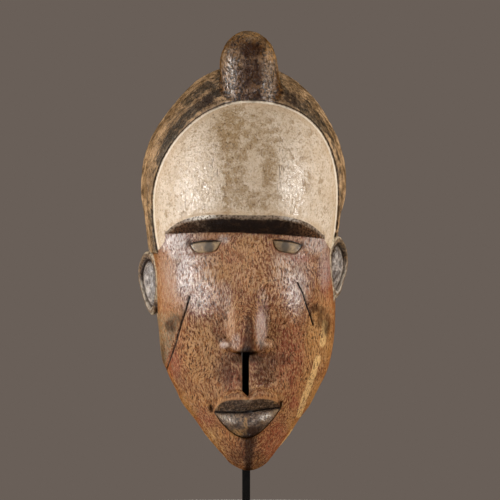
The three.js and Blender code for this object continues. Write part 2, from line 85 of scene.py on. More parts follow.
LIP_RIM = {"over": 0.6, "width": 1.5, "height": 0.9}
LIP_CUT = {"width": 0.9, "depth": 1.6}
UNDER_LIP = {"below": 1.2, "width": 1.3, "depth": 0.9}
MOUTH_CORNER = {"half_width": 1.7, "half_height": 5.2, "depth": 2.6}
MOUTH_CORNERS = [{"x": 29.3, "z": 58.5, "lean": 0.12}, {"x": -29.4, "z": 54.8, "lean": -0.25}]
MUZZLE = {"height": 58, "half_width": 50, "half_height": 48, "depth": 3.5}
SOCKET = {"half_width": 23, "half_height": 11, "depth": 1.8}
EYES = [
    {"node": "left_eye_inset", "x": -35, "z": 197, "half_length": 13.7, "turn": 12, "outer_drop": 4},
    {"node": "right_eye_inset", "x": 35.6, "z": 197, "half_length": 13, "turn": -12, "outer_drop": -9},
]
EYELID = {"beyond": 2.5, "up": 4.4, "width": 1.7, "height": 1.3}
EYE_POCKET = {"above": 1.2, "below": 7.6, "depth": 4.2}
EYE_SURROUND = {"beyond": 3, "below": 3.2, "half_height": 7.5, "lid_beyond": 6, "lid_over": 0.5}
LOWER_LID = {"slope": 0.7, "depth": 2.6}
EYE_ENDS = {"inner": 4, "outer": 5}
GLASS = {"end_gap": 0.5, "edge_gap": 0.1, "near": 1.3, "far": 3.85, "dome": 0.8, "columns": 28, "rows": 10}
GLASS_SPAN = 0.97 * math.pi / 2
IRIS = {"left_x": 2.8, "right_x": -1.5, "below": 3.4, "half_width": 5, "half_height": 6.5}
EARS = [
    {"side": -1, "x": -84.5, "y": -25, "z": 162, "half_height": 28, "lean": 8},
    {"side": 1, "x": 79.8, "y": -25, "z": 176, "half_height": 27, "lean": 4.5},
]
EAR_PAINT = {"reach": 1.12, "thickness": 18, "widest": 1.5}
EAR = {"half_width": 15, "facing": 50, "root": 16, "taper": 0.45, "crown_taper": 0.12}
KNOB = {"x": 5, "y": -45.5, "radius": 24.8, "foot": 318, "shoulder": 350, "top": 380.5, "root": 18}
KNOB_LEAN = {"back": 4, "left": 5}

# Stations up the mask: (height, value)
HALF_WIDTHS = [
    (0, 12.5), (8, 17.8), (15, 23.6), (29, 35.5), (43, 45.1), (56, 54.9), (70, 62.5), (84, 69.6),
    (98, 73.6), (118, 76.6), (132, 78), (150, 79), (185, 80), (200, 81.3), (212, 82.8), (224, 84.5),
    (238, 87.6), (260, 88.3), (290, 87.8), (312, 85), (330, 84.5), (352, 88),
]
MIDDLES = [
    (0, 2), (15, 1.5), (60, 0.6), (118, 0.7), (150, -1), (200, -3.3), (215, -3.4), (240, -2.4),
    (290, -1.4), (320, 0.3),
]
SECTION_CENTRES = [(0, -36), (40, -24), (90, -10), (150, -2), (245, 0)]
FACE_FRONTS = [(0, -53), (10, -60), (25, -66), (45, -71), (70, -74.5), (100, -77), (150, -79)]
NOSE_HEIGHTS = [
    (100, 0), (104, 1), (106.5, 17), (111, 20), (120, 18), (131, 14), (140, 9.6), (150, 4.8), (160, 1.8),
    (172, 0.6), (186, 0),
]
NOSE_WIDTHS = [(104, 17), (112, 18), (120, 17.6), (131, 16), (146, 14), (160, 13), (175, 12), (196, 11)]
FACE_SQUARENESS = [(0, 1.9), (30, 2), (60, 2.4), (110, 2.7)]
FOREHEAD_SQUARENESS = 2.15
BACK_SQUARENESS = 3
EAR_FRONT = [
    (0, 1.6), (0.28, 1.3), (0.52, 0.4), (0.66, -1.8), (0.74, -2.4), (0.82, 0.7), (0.93, 1), (1, -0.6),
]
EAR_BACK = [(0, -16), (0.45, -16), (0.76, -8.5), (0.98, -3), (1, -0.6)]

# Cracks in the cheeks: points (x, z) from the top down
LEFT_CRACK = [(-48.2, 151), (-51.5, 139), (-55, 129), (-60.4, 110), (-64.5, 99), (-70, 85)]
RIGHT_CRACK = [(43.9, 163), (48.4, 154), (51.6, 143.6), (53.8, 138), (57.6, 126)]
CRACK = {"half_width": 1.3, "depth": 2.6}
SIDE_FLAKE = {"x": 48.4, "lean": 0.333, "level": 150, "foot": 84, "height": 1.3}

# Fillets where the solids meet, and the rounding of the cut edges
FILLETS = {"knob": 3.0, "ear": 2.0}
ROUNDED = {"hollow": 2.0, "rim": 2.5, "slot": 1.6, "eye": 0.9}

# The stand's softened edges, in metres and degrees
STEEL_EDGE = {"weld": 0.00001, "width": 0.0005, "angle": 40}

# The grid that the mask is sampled on, and the size of its mesh
SAMPLED_BOX = ((-98, -101, -4.0), (94, 64, 385.0))
GRID_STEP = 1.15
TRIANGLES = 196000
INNER_KEPT = 0.2
SEED = 11


# The camera and the lights

def aim(thing, target):
    direction = np.array(target) - np.array(thing.location)
    pitch = math.atan2(math.hypot(direction[0], direction[1]), -direction[2])
    turn = math.atan2(-direction[0], direction[1])
    thing.rotation_euler = (pitch, 0, turn)


def make_camera():
    lens = bpy.data.cameras.new("camera")
    lens.sensor_width = SENSOR
    lens.lens = SENSOR * CAMERA_DISTANCE / VIEW_WIDTH
    camera = bpy.data.objects.new("camera", lens)
    x, y, z = CAMERA_TARGET
    camera.location = (x, y - CAMERA_DISTANCE, z)
    camera.rotation_euler = (math.pi / 2, 0, 0)
    bpy.context.scene.collection.objects.link(camera)
    bpy.context.scene.camera = camera


SOFTBOXES = [
    {"name": "left_softbox", "azimuth": -67, "height": 0.5, "size": (0.6, 0.9), "watts": 14.5},
    {"name": "right_softbox", "azimuth": 67, "height": 0.5, "size": (0.6, 0.9), "watts": 13.5},
]
# Lamps that only give the polished places their highlights
STRIPS = [
    {"name": "left_strip", "azimuth": -52, "height": 0.34, "size": (0.14, 0.7), "watts": 24},
    {"name": "left_sheen", "azimuth": -68, "height": 0.34, "size": (0.3, 0.6), "watts": 46},
    {"name": "right_strip", "azimuth": 52, "height": 0.34, "size": (0.14, 0.7), "watts": 22},
]
# A weak lamp that opens up the hollow for views from behind
BACK_FILL = {"name": "back_fill", "azimuth": 180, "height": 0.42, "size": (0.5, 0.6), "watts": 3.5}
LAMP_DISTANCE = 1.05
LAMP_TARGET = (0, -0.03, 0.28)
LAMP_COLOUR = (1.0, 0.975, 0.95)
AIR_LIGHT = {"tone": "8c857e", "strength": 0.19}
BACKGROUND = {"tone": "695f58", "strength": 1.0}
FLOOR = {"radius": 0.6, "sides": 96, "height": -0.0006}


def make_softbox(box):
    light = bpy.data.lights.new(box["name"], "AREA")
    light.shape = "RECTANGLE"
    light.size, light.size_y = box["size"]
    light.energy = box["watts"]
    light.color = LAMP_COLOUR
    lamp = bpy.data.objects.new(box["name"], light)
    turn = math.radians(box["azimuth"])
    lamp.location = (math.sin(turn) * LAMP_DISTANCE, -math.cos(turn) * LAMP_DISTANCE, box["height"])
    aim(lamp, LAMP_TARGET)
    bpy.context.scene.collection.objects.link(lamp)
    return lamp


make_camera()
for softbox in SOFTBOXES:
    make_softbox(softbox)
for strip in STRIPS:
    make_softbox(strip).visible_diffuse = False
make_softbox(BACK_FILL).visible_camera = False


# Small functions of form, which work on whole arrays

def mix(a, b, t):
    return a + (b - a) * t


def smooth(low, high, x):
    t = np.clip((x - low) / (high - low), 0, 1)
    return t * t * (3 - 2 * t)


def hump(t):
    return np.where(np.abs(t) < 1, (1 - t * t) ** 2, 0)


def bead(away, width):
    """1 on a line and fading to 0 on both sides of it."""
    return np.exp(-((away / width) ** 2))


def along(stations, z):
    """A smooth curve through the stations, held at its end values."""
    at = np.array([s[0] for s in stations], float)
    value = np.array([s[1] for s in stations], float)
    last = len(at) - 1
    before = np.maximum(np.arange(last + 1) - 1, 0)
    after = np.minimum(np.arange(last + 1) + 1, last)
    slope = (value[after] - value[before]) / (at[after] - at[before])
    z = np.clip(z, at[0], at[-1])
    i = np.clip(np.searchsorted(at, z, side="right") - 1, 0, last - 1)
    span = at[i + 1] - at[i]
    t = (z - at[i]) / span
    start = value[i] * (1 + 2 * t) * (1 - t) ** 2 + slope[i] * span * t * (1 - t) ** 2
    end = value[i + 1] * t * t * (3 - 2 * t) + slope[i + 1] * span * t * t * (t - 1)
    return start + end


def bulge(share, exponent):
    return (1 - np.minimum(1, np.abs(share)) ** exponent) ** (1 / exponent)


def share_out(a, b, power):
    """The share of the way from the middle of a form to its skin. A higher power makes it squarer."""
    return (np.abs(a) ** power + np.abs(b) ** power) ** (1 / power)


def past_skin(away, share):
    """How far outside a form a point lies, from its way to the middle and that way's share of the whole."""
    return away * (1 - 1 / np.maximum(share, 0.02))


def turned(a, b, angle):
    """Two coordinates after their frame has turned by an angle, from a towards b."""
    return a * math.cos(angle) + b * math.sin(angle), -a * math.sin(angle) + b * math.cos(angle)


def round_join(a, b, radius):
    """The union of two solids given by how far outside each a point is, with a fillet between them."""
    near = np.maximum(radius - np.abs(a - b), 0) / radius
    return np.minimum(a, b) - near * near * radius / 4


def round_cut(a, b, radius):
    """The first solid without the second, with the new edge rounded off."""
    near = np.maximum(radius - np.abs(a + b), 0) / radius
    return np.maximum(a, -b) + near * near * radius / 4


class Lattice:
    """Smooth seeded noise from -1 to 1 over points in millimetres."""

    size = 48

    def __init__(self, seed):
        self.values = np.random.default_rng(seed).uniform(-1, 1, (self.size,) * 3).astype(np.float32)

    def at(self, x, y, z):
        low = [np.floor(c).astype(np.int64) for c in (x, y, z)]
        part = [c - f for c, f in zip((x, y, z), low)]
        ease = [t * t * (3 - 2 * t) for t in part]
        total = 0
        for corner in range(8):
            offset = [(corner >> k) & 1 for k in range(3)]
            cell = tuple((f + o) % self.size for f, o in zip(low, offset))
            weight = 1
            for t, o in zip(ease, offset):
                weight = weight * (t if o else 1 - t)
            total = total + weight * self.values[cell]
        return total


LATTICE = Lattice(SEED)


def roughness_at(x, y, z, size, tall=1.0, layers=2, shift=0.0):
    """Layered noise whose patches are about size across, and tall times that high."""
    total = 0
    for layer in range(layers):
        step = size / 2**layer
        place = (x / step + shift, y / step + 7.3 * layer, z / (step * tall) + shift)
        total = total + LATTICE.at(*place) / 2**layer
    return total


# The brow, nose, mouth and eyes as depths of carving over the face

def across_brow(x):
    return (x - BROW["x"]) / BROW["half_width"]


def beyond_brow(x):
    return BROW_EDGE["fade"] * smooth(0.95, 1.15, np.abs(across_brow(x)))


def brow_bottom(x):
    share = across_brow(x)
    return BROW["bottom"] - BROW["tilt"] * share - BROW["droop"] * share * share - beyond_brow(x)


def brow_top(x):
    height = BROW["height"] * (1 - np.abs(across_brow(x)) ** 5)
    return brow_bottom(x) + np.maximum(BROW_EDGE["end_height"], height) + 2 * beyond_brow(x)


def over_brow(x, z):
    """0 on the face and 1 on the forehead, with a crisp inner corner under the brow."""
    t = np.clip((z - brow_bottom(x)) / (brow_top(x) - brow_bottom(x)), 0, 1)
    return 1 - (1 - t) ** 1.8


def brow_relief(x, z):
    inner = 1 - smooth(0.8, 1, np.abs(across_brow(x)))
    top = brow_top(x)
    bevel = 1 - np.clip((z - top) / BROW_EDGE["bevel"], 0, 1)
    return BROW_EDGE["proud"] * inner * over_brow(x, z) * bevel


def wing_place(side, x, z):
    """Where a point lies on a wing of the nose, as shares of its half-width and half-height."""
    u = (x - NOSE["x"] - side * NOSE["wing_x"]) / NOSE_WING["width"]
    return u, (z - NOSE["wing_z"]) / NOSE_WING["height"]


def nose_relief(x, z):
    across = np.abs(x - NOSE["x"]) / along(NOSE_WIDTHS, z)
    hang = NOSE["hang"] * smooth(1, 0, across) * smooth(116, 106, z)
    softer = smooth(NOSE_FLANK["crisp_below"], NOSE_FLANK["soft_above"], z)
    flank = mix(NOSE_FLANK["crisp"], NOSE_FLANK["soft"], softer)
    ridge = along(NOSE_HEIGHTS, z + hang) * (1 - np.minimum(across, 1) ** 2.6) ** flank
    for side in (-1, 1):
        ridge = np.maximum(ridge, NOSE_WING["depth"] * hump(np.hypot(*wing_place(side, x, z))))
    return ridge


def across_mouth(x):
    return np.minimum(1, np.abs(x - MOUTH["x"]) / MOUTH["half_width"])


def lip_line(x):
    return MOUTH["line"] + MOUTH["lift"] * smooth(-6, 28, x)


def lip_top(x):
    arch = LIPS["upper_height"] * (1 - across_mouth(x) ** 4) ** 0.7
    return lip_line(x) + arch - LIPS["notch"] * hump((x - SLOT["point_x"]) / 7)


def lip_bottom(x):
    return lip_line(x) - LIPS["lower_height"] * (1 - across_mouth(x) ** 2)


def mouth_relief(x, z):
    inside = 1 - across_mouth(x) ** 6
    line, top, bottom = lip_line(x), lip_top(x), lip_bottom(x)
    up = (z - line) / np.maximum(1, top - line)
    upper = mix(LIPS["inner"], LIPS["upper"], smooth(0, LIP_ROLLS["upper"], up))
    upper = upper * (1 - smooth(top - LIP_FADE, top + LIP_FADE, z))
    down = (line - z) / np.maximum(1, line - bottom)
    swell = 1 - (1 - np.clip(down / LIP_ROLLS["lower"], 0, 1)) ** 2
    lower = mix(LIPS["inner"], LIPS["lower"], swell) - LIP_ROLLS["undercut"] * smooth(0.5, 1, down)
    lower = lower * smooth(bottom - LIP_FADE, bottom + LIP_FADE / 2, z)
    return inside * np.where(z >= line, upper, lower)


def lip_edges(x, z):
    """The fine rim round the upper lip, the cut between the lips and the line under the lower one."""
    inside = 1 - across_mouth(x) ** 8
    rim = LIP_RIM["height"] * bead(z - lip_top(x) - LIP_RIM["over"], LIP_RIM["width"])
    cut = -LIP_CUT["depth"] * bead(z - lip_line(x), LIP_CUT["width"])
    under = -UNDER_LIP["depth"] * bead(z - lip_bottom(x) + UNDER_LIP["below"], UNDER_LIP["width"])
    corners = 0
    for corner in MOUTH_CORNERS:
        up = z - corner["z"]
        off = (x - corner["x"] - corner["lean"] * up) / MOUTH_CORNER["half_width"]
        corners = corners - MOUTH_CORNER["depth"] * hump(np.hypot(off, up / MOUTH_CORNER["half_height"]))
    return inside * (rim + cut + under) + corners


def wing_creases(x, z):
    """A cut round the upper and inner side of each wing of the nose."""
    total = 0
    for side in (-1, 1):
        u, v = wing_place(side, x, z)
        ring = bead(np.hypot(u, v) - WING_CREASE["at"], WING_CREASE["width"])
        total = total - WING_CREASE["depth"] * ring * smooth(-0.7, 0.5, v - WING_CREASE["inward"] * side * u)
    return total


def socket_relief(x, z):
    total = 0
    for eye in EYES:
        away = np.hypot((x - eye["x"]) / SOCKET["half_width"], (z - eye["z"]) / SOCKET["half_height"])
        total = total - SOCKET["depth"] * hump(away)
    return total


def eyelid_relief(x, z):
    """A fold over each eye that overhangs it."""
    total = 0
    for eye in EYES:
        drop = math.tan(math.radians(eye["outer_drop"])) * (x - eye["x"])
        u = (x - eye["x"]) / (eye["half_length"] + EYELID["beyond"])
        up = z - eye["z"] - drop
        ends = 1 - smooth(0.85, 1.1, np.abs(u))
        total = total + ends * (EYELID["height"] * bead(up - EYELID["up"], EYELID["width"]))
    return total


def muzzle_relief(x, z):
    u = (x - MOUTH["x"]) / MUZZLE["half_width"]
    v = (z - MUZZLE["height"]) / MUZZLE["half_height"]
    return MUZZLE["depth"] * hump(np.hypot(u, v))


def line_distance(x, z, points):
    """How far a point lies from a line through points, above 0 on the side of the face's middle."""
    nearest = np.full(np.broadcast(x, z).shape, 1e9)
    signed = np.zeros_like(nearest)
    for (xa, za), (xb, zb) in zip(points, points[1:]):
        dx, dz = xb - xa, zb - za
        t = np.clip(((x - xa) * dx + (z - za) * dz) / (dx * dx + dz * dz), 0, 1)
        away = np.hypot(x - xa - t * dx, z - za - t * dz)
        side = np.sign((x - xa) * dz - (z - za) * dx) * math.copysign(1, xa) * math.copysign(1, -dz)
        closer = away < nearest
        signed = np.where(closer, -side * away, signed)
        nearest = np.where(closer, away, nearest)
    return signed


def crack_relief(x, z):
    total = 0
    for points in (LEFT_CRACK, RIGHT_CRACK):
        away = np.abs(line_distance(x, z, points))
        total = total - CRACK["depth"] * np.maximum(0, 1 - away / CRACK["half_width"])
    return total


def broad_relief(x, z):
    return nose_relief(x, z) + mouth_relief(x, z) + socket_relief(x, z) + muzzle_relief(x, z)


def carving(x, z):
    total = broad_relief(x, z)
    for relief in (brow_relief, eyelid_relief, lip_edges, wing_creases, crack_relief):
        total = total + relief(x, z)
    return total


# The solids. Each function says how far outside its solid a point is, and is negative inside it.

def face_depth(x, z):
    centre = along(SECTION_CENTRES, z)
    return mix(centre - along(FACE_FRONTS, z), CROWN["forehead"] + centre, over_brow(x, z))


def face_squareness(x, z):
    return mix(along(FACE_SQUARENESS, z), FOREHEAD_SQUARENESS, over_brow(x, z))


def past_ends(z, rise, rounding, lowest=0):
    """How far a point lies beyond the start of the rounded crown or chin, and as a share of that end."""
    above, below = z - CROWN["centre"], lowest + rounding - z
    share = np.clip(np.maximum(above / rise, below / rounding), 0, 3)
    return np.maximum(np.maximum(above, below), 0), share


def closed_form(dx, dy, dz, across, closing):
    """How far outside a form with rounded ends a point lies, from its shares of the way to the skin."""
    return past_skin(np.sqrt(dx * dx + dy * dy + dz * dz), np.sqrt(across**2 + closing**2))


def head_solid(x, y, z):
    centre, reach = along(SECTION_CENTRES, z), along(HALF_WIDTHS, z)
    dz, closing = past_ends(z, CROWN["rise"], CHIN_ROUNDING)
    dx = x - along(MIDDLES, z)
    width = reach * np.sqrt(np.clip(1 - closing**2, 0.0001, 1))
    dy = y + carving(x, z) * bulge(dx / width, 4) - centre
    front = share_out(dx / reach, dy / face_depth(x, z), face_squareness(x, z))
    back = share_out(dx / reach, dy / BACK_DEPTH, BACK_SQUARENESS)
    return closed_form(dx, dy, dz, np.where(dy < 0, front, back), closing)


def hollow_solid(x, y, z):
    centre = along(SECTION_CENTRES, z)
    dz, closing = past_ends(z, CROWN["rise"] - WALL["top"], HOLLOW["chin_rounding"], WALL["chin"])
    reach = along(HALF_WIDTHS, z) - WALL["side"]
    face = centre - along(FACE_FRONTS, z) - WALL["front"]
    forehead = CROWN["forehead"] + centre - WALL["front"]
    depth = mix(face, forehead, smooth(BROW["bottom"], BROW["bottom"] + 30, z))
    dx, dy = x - along(MIDDLES, z), y - centre
    power = np.where(dy < 0, HOLLOW["squareness"], BACK_SQUARENESS)
    depths = np.where(dy < 0, depth, HOLLOW["back_depth"])
    return closed_form(dx, dy, dz, share_out(dx / reach, dy / depths, power), closing)


def hairline_distance(x, z):
    """How far outside the hairline a point lies in the front view."""
    up = (z - HAIRLINE["spring"]) / HAIRLINE["rise"]
    half_width = np.where(x > 0, HAIRLINE_RIGHT["half_width"], HAIRLINE_LEFT["half_width"])
    fullness = np.where(x > 0, HAIRLINE_RIGHT["fullness"], HAIRLINE_LEFT["fullness"])
    sides = np.abs(x) - (half_width - HAIRLINE["narrowing"] * up * up)
    arch = past_skin(np.hypot(x, z - HAIRLINE["spring"]), share_out(x / half_width, up, fullness))
    return np.where(up > 0, arch, sides)


def hair_foot(y):
    """The height of the hair's lower edge, a curve that falls from over the ear to the rim."""
    run, curve = HAIR_FOOT["run"], HAIR_FOOT["curve"]
    behind = np.clip(y, HAIR_FOOT["from"], HAIR_FOOT["to"]) - HAIR_FOOT["from"]
    t = (np.sqrt(run * run + 4 * curve * behind) - run) / (2 * curve)
    return HAIR_FOOT["height"] - HAIR_FOOT["fall"] * t - HAIR_FOOT["sag"] * t * t


def hair_solid(x, y, z, head):
    """The head with the hair standing proud of it, in a soft step along the hairline."""
    return head - HAIR_RAISE * smooth(-0.4, 1.8, hair_inside(x, y, z))


def knob_solid(x, y, z):
    lean, tilt = math.radians(KNOB_LEAN["back"]), math.radians(KNOB_LEAN["left"])
    dx, dy, dz = x - KNOB["x"], y - KNOB["y"], z - KNOB["foot"]
    across, up = turned(dx, dz, tilt)
    back, up = turned(dy, up, lean)
    shoulder, dome = KNOB["shoulder"] - KNOB["foot"], KNOB["top"] - KNOB["shoulder"]
    out = np.hypot(across, back)
    radius = KNOB["radius"] * (1 + 0.03 * smooth(0, 12, up) - 0.03 * smooth(12, shoulder, up))
    over = np.maximum(up - shoulder, 0)
    round_top = past_skin(np.hypot(out, over), np.sqrt((out / radius) ** 2 + (over / dome) ** 2))
    return np.maximum(round_top, -KNOB["root"] - up)


def ear_place(ear, x, y, z):
    """A point in an ear's own frame: its share of the way to the rim, its height and how far out it lies."""
    facing, lean = math.radians(ear["side"] * EAR["facing"]), math.radians(ear["side"] * ear["lean"])
    dx, dy, dz = x - ear["x"], y - ear["y"], z - ear["z"]
    sideways, inward = turned(dx, dy, facing)
    across, up = turned(sideways, dz, -lean)
    up = up / ear["half_height"]
    narrow = 1 - EAR["taper"] * smooth(0.45, -1, up) - EAR["crown_taper"] * smooth(0.5, 1, up)
    share = np.hypot(across / (narrow * EAR["half_width"]), up)
    return share, up, -inward


def ear_solid(ear, x, y, z):
    share, _, out = ear_place(ear, x, y, z)
    rim = (share - 1) * EAR["half_width"]
    inner = np.minimum(share, 1)
    front = (out - along(EAR_FRONT, inner)) * 0.75
    back = (along(EAR_BACK, inner) - out) * 0.75
    return np.maximum(np.maximum(front, back), rim)


def eye_place(eye, x, y, z):
    """A point in an eye's own frame: along it, up it and how far behind the skin."""
    dx, dz = x - eye["x"], z - eye["z"]
    dy = y - eye["front"]
    turn, drop = math.radians(-eye["turn"]), math.radians(-eye["outer_drop"])
    level, behind = turned(dx, dy, turn)
    length, up = turned(level, dz, -drop)
    return length, up, behind


def eye_outline(eye, u, half_length, above, below):
    """The upper and lower edges of an eye at a place along it. Its outer end is the blunter one."""
    share = np.clip(u / half_length, -1, 1)
    fullness = np.where(share * eye["x"] > 0, EYE_ENDS["outer"], EYE_ENDS["inner"])
    return above * (1 - share**2), -below * (1 - np.abs(share) ** fullness)


def eye_pocket(eye, x, y, z):
    """The pocket of an eye, whose lower lid slopes down into it."""
    u, v, behind = eye_place(eye, x, y, z)
    top, bottom = eye_outline(eye, u, eye["half_length"], EYE_POCKET["above"], EYE_POCKET["below"])
    lid = LOWER_LID["slope"] * np.clip(LOWER_LID["depth"] - behind, 0, 4)
    outline = np.maximum(np.maximum(v - top, bottom - lid - v), np.abs(u) - eye["half_length"])
    return np.maximum(outline, behind - EYE_POCKET["depth"])


def slot_solid(x, y, z):
    half = SLOT["width"] / 2
    flare = smooth(SLOT["top"] - SLOT_FLARE["height"], SLOT["top"], z)
    left = SLOT["x"] - half - SLOT_FLARE["left"] * flare - x
    right = x - SLOT["x"] - half - SLOT_FLARE["right"] * flare
    past = x - SLOT["point_x"]
    rise = np.where(past < 0, -past * SLOT_FOOT["left_slope"], past * SLOT_FOOT["right_slope"])
    ends = np.maximum(SLOT["bottom"] + rise - z, z - SLOT["top"])
    return np.maximum(np.maximum(np.maximum(left, right), ends), y - SLOT["back"])


def front_of(x, z):
    """The y of the face's skin at a place across and up, without its fine edges."""
    centre = along(SECTION_CENTRES, z)
    share = (x - along(MIDDLES, z)) / along(HALF_WIDTHS, z)
    skin = centre - face_depth(x, z) * bulge(share, face_squareness(x, z))
    return skin - broad_relief(x, z) * bulge(share, 4)


def beyond_left_crack(x, z):
    """Below 0 on the side wall beyond the left crack."""
    return x + SIDE_FLAKE["x"] + SIDE_FLAKE["lean"] * (SIDE_FLAKE["level"] - z)


def side_flake(x, y, z):
    """The wall beyond the left crack stands a little out and ends in a step over the jaw."""
    beyond = smooth(0, -6, beyond_left_crack(x, z)) * smooth(30, 10, y)
    step_up = smooth(SIDE_FLAKE["foot"], SIDE_FLAKE["foot"] + 1.5, z)
    return SIDE_FLAKE["height"] * beyond * step_up * (1 - smooth(96, 132, z))


for one in EYES:
    one["front"] = float(front_of(np.array(one["x"], float), np.array(one["z"], float)))


def mask_solid(x, y, z):
    head = head_solid(x, y, z) - side_flake(x, y, z)
    body = round_join(hair_solid(x, y, z, head), knob_solid(x, y, z), FILLETS["knob"])
    for ear in EARS:
        body = round_join(body, ear_solid(ear, x, y, z), FILLETS["ear"])
    body = round_cut(body, hollow_solid(x, y, z), ROUNDED["hollow"])
    slope = (RIM["back"] - RIM["chin_end"]) / RIM["straight_from"]
    slant = (y - RIM["chin_end"] - slope * z) / math.hypot(1, slope)
    body = round_cut(body, -slant, ROUNDED["rim"])
    body = round_cut(body, RIM["back"] - y, ROUNDED["rim"])
    body = round_cut(body, slot_solid(x, y, z), ROUNDED["slot"])
    for eye in EYES:
        body = round_cut(body, eye_pocket(eye, x, y, z), ROUNDED["eye"])
    return body


# A mesh from the solids

def sampled(step):
    """The mask's solid on a grid, worked out slice by slice, with the grid's corner."""
    low, high = [np.array(corner) for corner in SAMPLED_BOX]
    counts = np.ceil((high - low) / step).astype(int) + 1
    xs, ys, zs = [low[k] + step * np.arange(counts[k]) for k in range(3)]
    values = np.empty(counts, np.float32)
    for k in range(0, counts[2], 16):
        heights = zs[k : k + 16]
        values[:, :, k : k + 16] = mask_solid(xs[:, None, None], ys[None, :, None], heights[None, None, :])
    return values, low


def unambiguous(values):
    """Fills one corner of each grid square whose corners alternate, so that no edge joins four faces."""
    for _ in range(6):
        changed = 0
        for axis in range(3):
            u, v = (axis + 1) % 3, (axis + 2) % 3
            corners = []
            for du, dv in ((0, 0), (1, 0), (1, 1), (0, 1)):
                part = [slice(None)] * 3
                part[u] = slice(du, values.shape[u] - 1 + du)
                part[v] = slice(dv, values.shape[v] - 1 + dv)
                corners.append(tuple(part))
            a, b, c, d = [values[part] < 0 for part in corners]
            for found, first, second in ((a & c & ~b & ~d, 1, 3), (b & d & ~a & ~c, 0, 2)):
                for cell in np.argwhere(found):
                    shifts = []
                    for corner in (first, second):
                        place = cell.copy()
                        place[u] += (0, 1, 1, 0)[corner]
                        place[v] += (0, 0, 1, 1)[corner]
                        shifts.append(tuple(place))
                    nearest = min(shifts, key=lambda place: values[place])
                    values[nearest] = min(values[nearest], -0.02)
                    changed += 1
        if not changed:
            return


def surface_net(values, low, step):
    """Vertices and quads where the sampled solid ends."""
    inside = values < 0
    some = np.zeros(np.array(values.shape) - 1, bool)
    every = np.ones_like(some)
    for corner in range(8):
        shift = [(corner >> k) & 1 for k in range(3)]
        part = tuple(slice(s, n - 1 + s) for s, n in zip(shift, values.shape))
        some |= inside[part]
        every &= inside[part]
    mixed = some & ~every
    number = np.full(mixed.shape, -1, np.int64)
    number[mixed] = np.arange(mixed.sum())
    cells = np.argwhere(mixed)
    total = np.zeros(cells.shape)
    count = np.zeros(len(cells))
    for axis in range(3):
        for offset in range(4):
            start = np.zeros(3, int)
            start[(axis + 1) % 3], start[(axis + 2) % 3] = offset & 1, offset >> 1
            end = start.copy()
            end[axis] = 1
            va = values[tuple((cells + start).T)]
            vb = values[tuple((cells + end).T)]
            cross = (va < 0) != (vb < 0)
            t = np.where(cross, va / np.where(cross, va - vb, 1), 0)
            point = start + (end - start) * t[:, None]
            total[cross] += point[cross]
            count[cross] += 1
    vertices = low + step * (cells + total / count[:, None])
    quads = []
    for axis in range(3):
        u, v = (axis + 1) % 3, (axis + 2) % 3
        first = [slice(1, -1)] * 3
        second = [slice(1, -1)] * 3
        first[axis], second[axis] = slice(0, -1), slice(1, None)
        a, b = inside[tuple(first)], inside[tuple(second)]
        for rising in (True, False):
            edge = np.argwhere(a & ~b if rising else b & ~a)
            shift = np.ones(3, int)
            shift[axis] = 0
            corner = edge + shift
            ring = []
            for du, dv in ((-1, -1), (0, -1), (0, 0), (-1, 0)):
                cell = corner.copy()
                cell[:, u] += du
                cell[:, v] += dv
                ring.append(number[tuple(cell.T)])
            quad = np.stack(ring, 1)
            quads.append(quad if rising else quad[:, ::-1])
    return vertices, np.concatenate(quads)


def outward(points, reach=0.3):
    """The direction straight out of the solid at each point, and how far outside the point is."""
    x, y, z = points.T
    slope = np.empty_like(points)
    for axis in range(3):
        shift = np.zeros(3)
        shift[axis] = reach
        ahead, behind = points + shift, points - shift
        slope[:, axis] = (mask_solid(*ahead.T) - mask_solid(*behind.T)) / (2 * reach)
    steepness = np.maximum(np.linalg.norm(slope, axis=1), 0.2)
    return slope / steepness[:, None], mask_solid(x, y, z) / steepness


def settled(points, limit):
    """The vertices moved onto the solid's true surface, and the direction straight out at each."""
    normal, away = outward(points)
    points = points - normal * np.clip(away, -limit, limit)[:, None]
    rest = mask_solid(*points.T)
    return points - normal * np.clip(rest, -limit / 2, limit / 2)[:, None] * 0.8, normal


# Where each part of the surface lies, as how far inside a part's edge a point is

def face_side(x, y, z):
    """1 outside the mask and 0 in its hollow."""
    return smooth(1.0, 3.5, hollow_solid(x, y, z)) * smooth(RIM["back"] - 0.5, RIM["back"] - 2.5, y)


def brow_paint_top(x):
    """The upper edge of the brow's black paint, which lies a little lower on the left than on the right."""
    return brow_top(x) - mix(BROW_PAINT["left_drop"], BROW_PAINT["right_drop"], smooth(6, 24, x))


def white_inside(x, y, z):
    share = np.abs(across_brow(x))
    over_paint = z - brow_paint_top(x) + BROW_PAINT["white_over"]
    beyond_end = np.abs(x - BROW["x"]) - WHITE_FOOT["from_middle"]
    beside_brow = (z - WHITE_FOOT["height"] + WHITE_FOOT["slope"] * beyond_end) * 0.7
    low = np.where(share < 0.98, over_paint, beside_brow)
    return np.minimum(np.minimum(-hairline_distance(x, z), low), HAIRLINE["behind"] - y)


def hair_inside(x, y, z):
    outside = np.maximum(hairline_distance(x, z), y - HAIRLINE["behind"])
    return np.minimum(outside, z - hair_foot(y))


def dark_lip_top(x):
    """The upper lip's stained face ends below its bare rim."""
    arch = (1 - across_mouth(x) ** 4) ** 0.7
    return lip_line(x) + mix(LIP_STAIN["left"], LIP_STAIN["right"], smooth(-10, 25, x)) * arch


def lip_inside(x, z):
    edge = np.minimum(dark_lip_top(x) - z, z - lip_bottom(x))
    return np.minimum(edge, MOUTH["half_width"] - np.abs(x - MOUTH["x"]))


def brow_inside(x, z):
    edge = np.minimum(brow_paint_top(x) + BROW_PAINT["over_edge"] - z, z - brow_bottom(x))
    return np.minimum(edge, (BROW_PAINT["ends_at"] - np.abs(across_brow(x))) * BROW["half_width"] * 0.6)


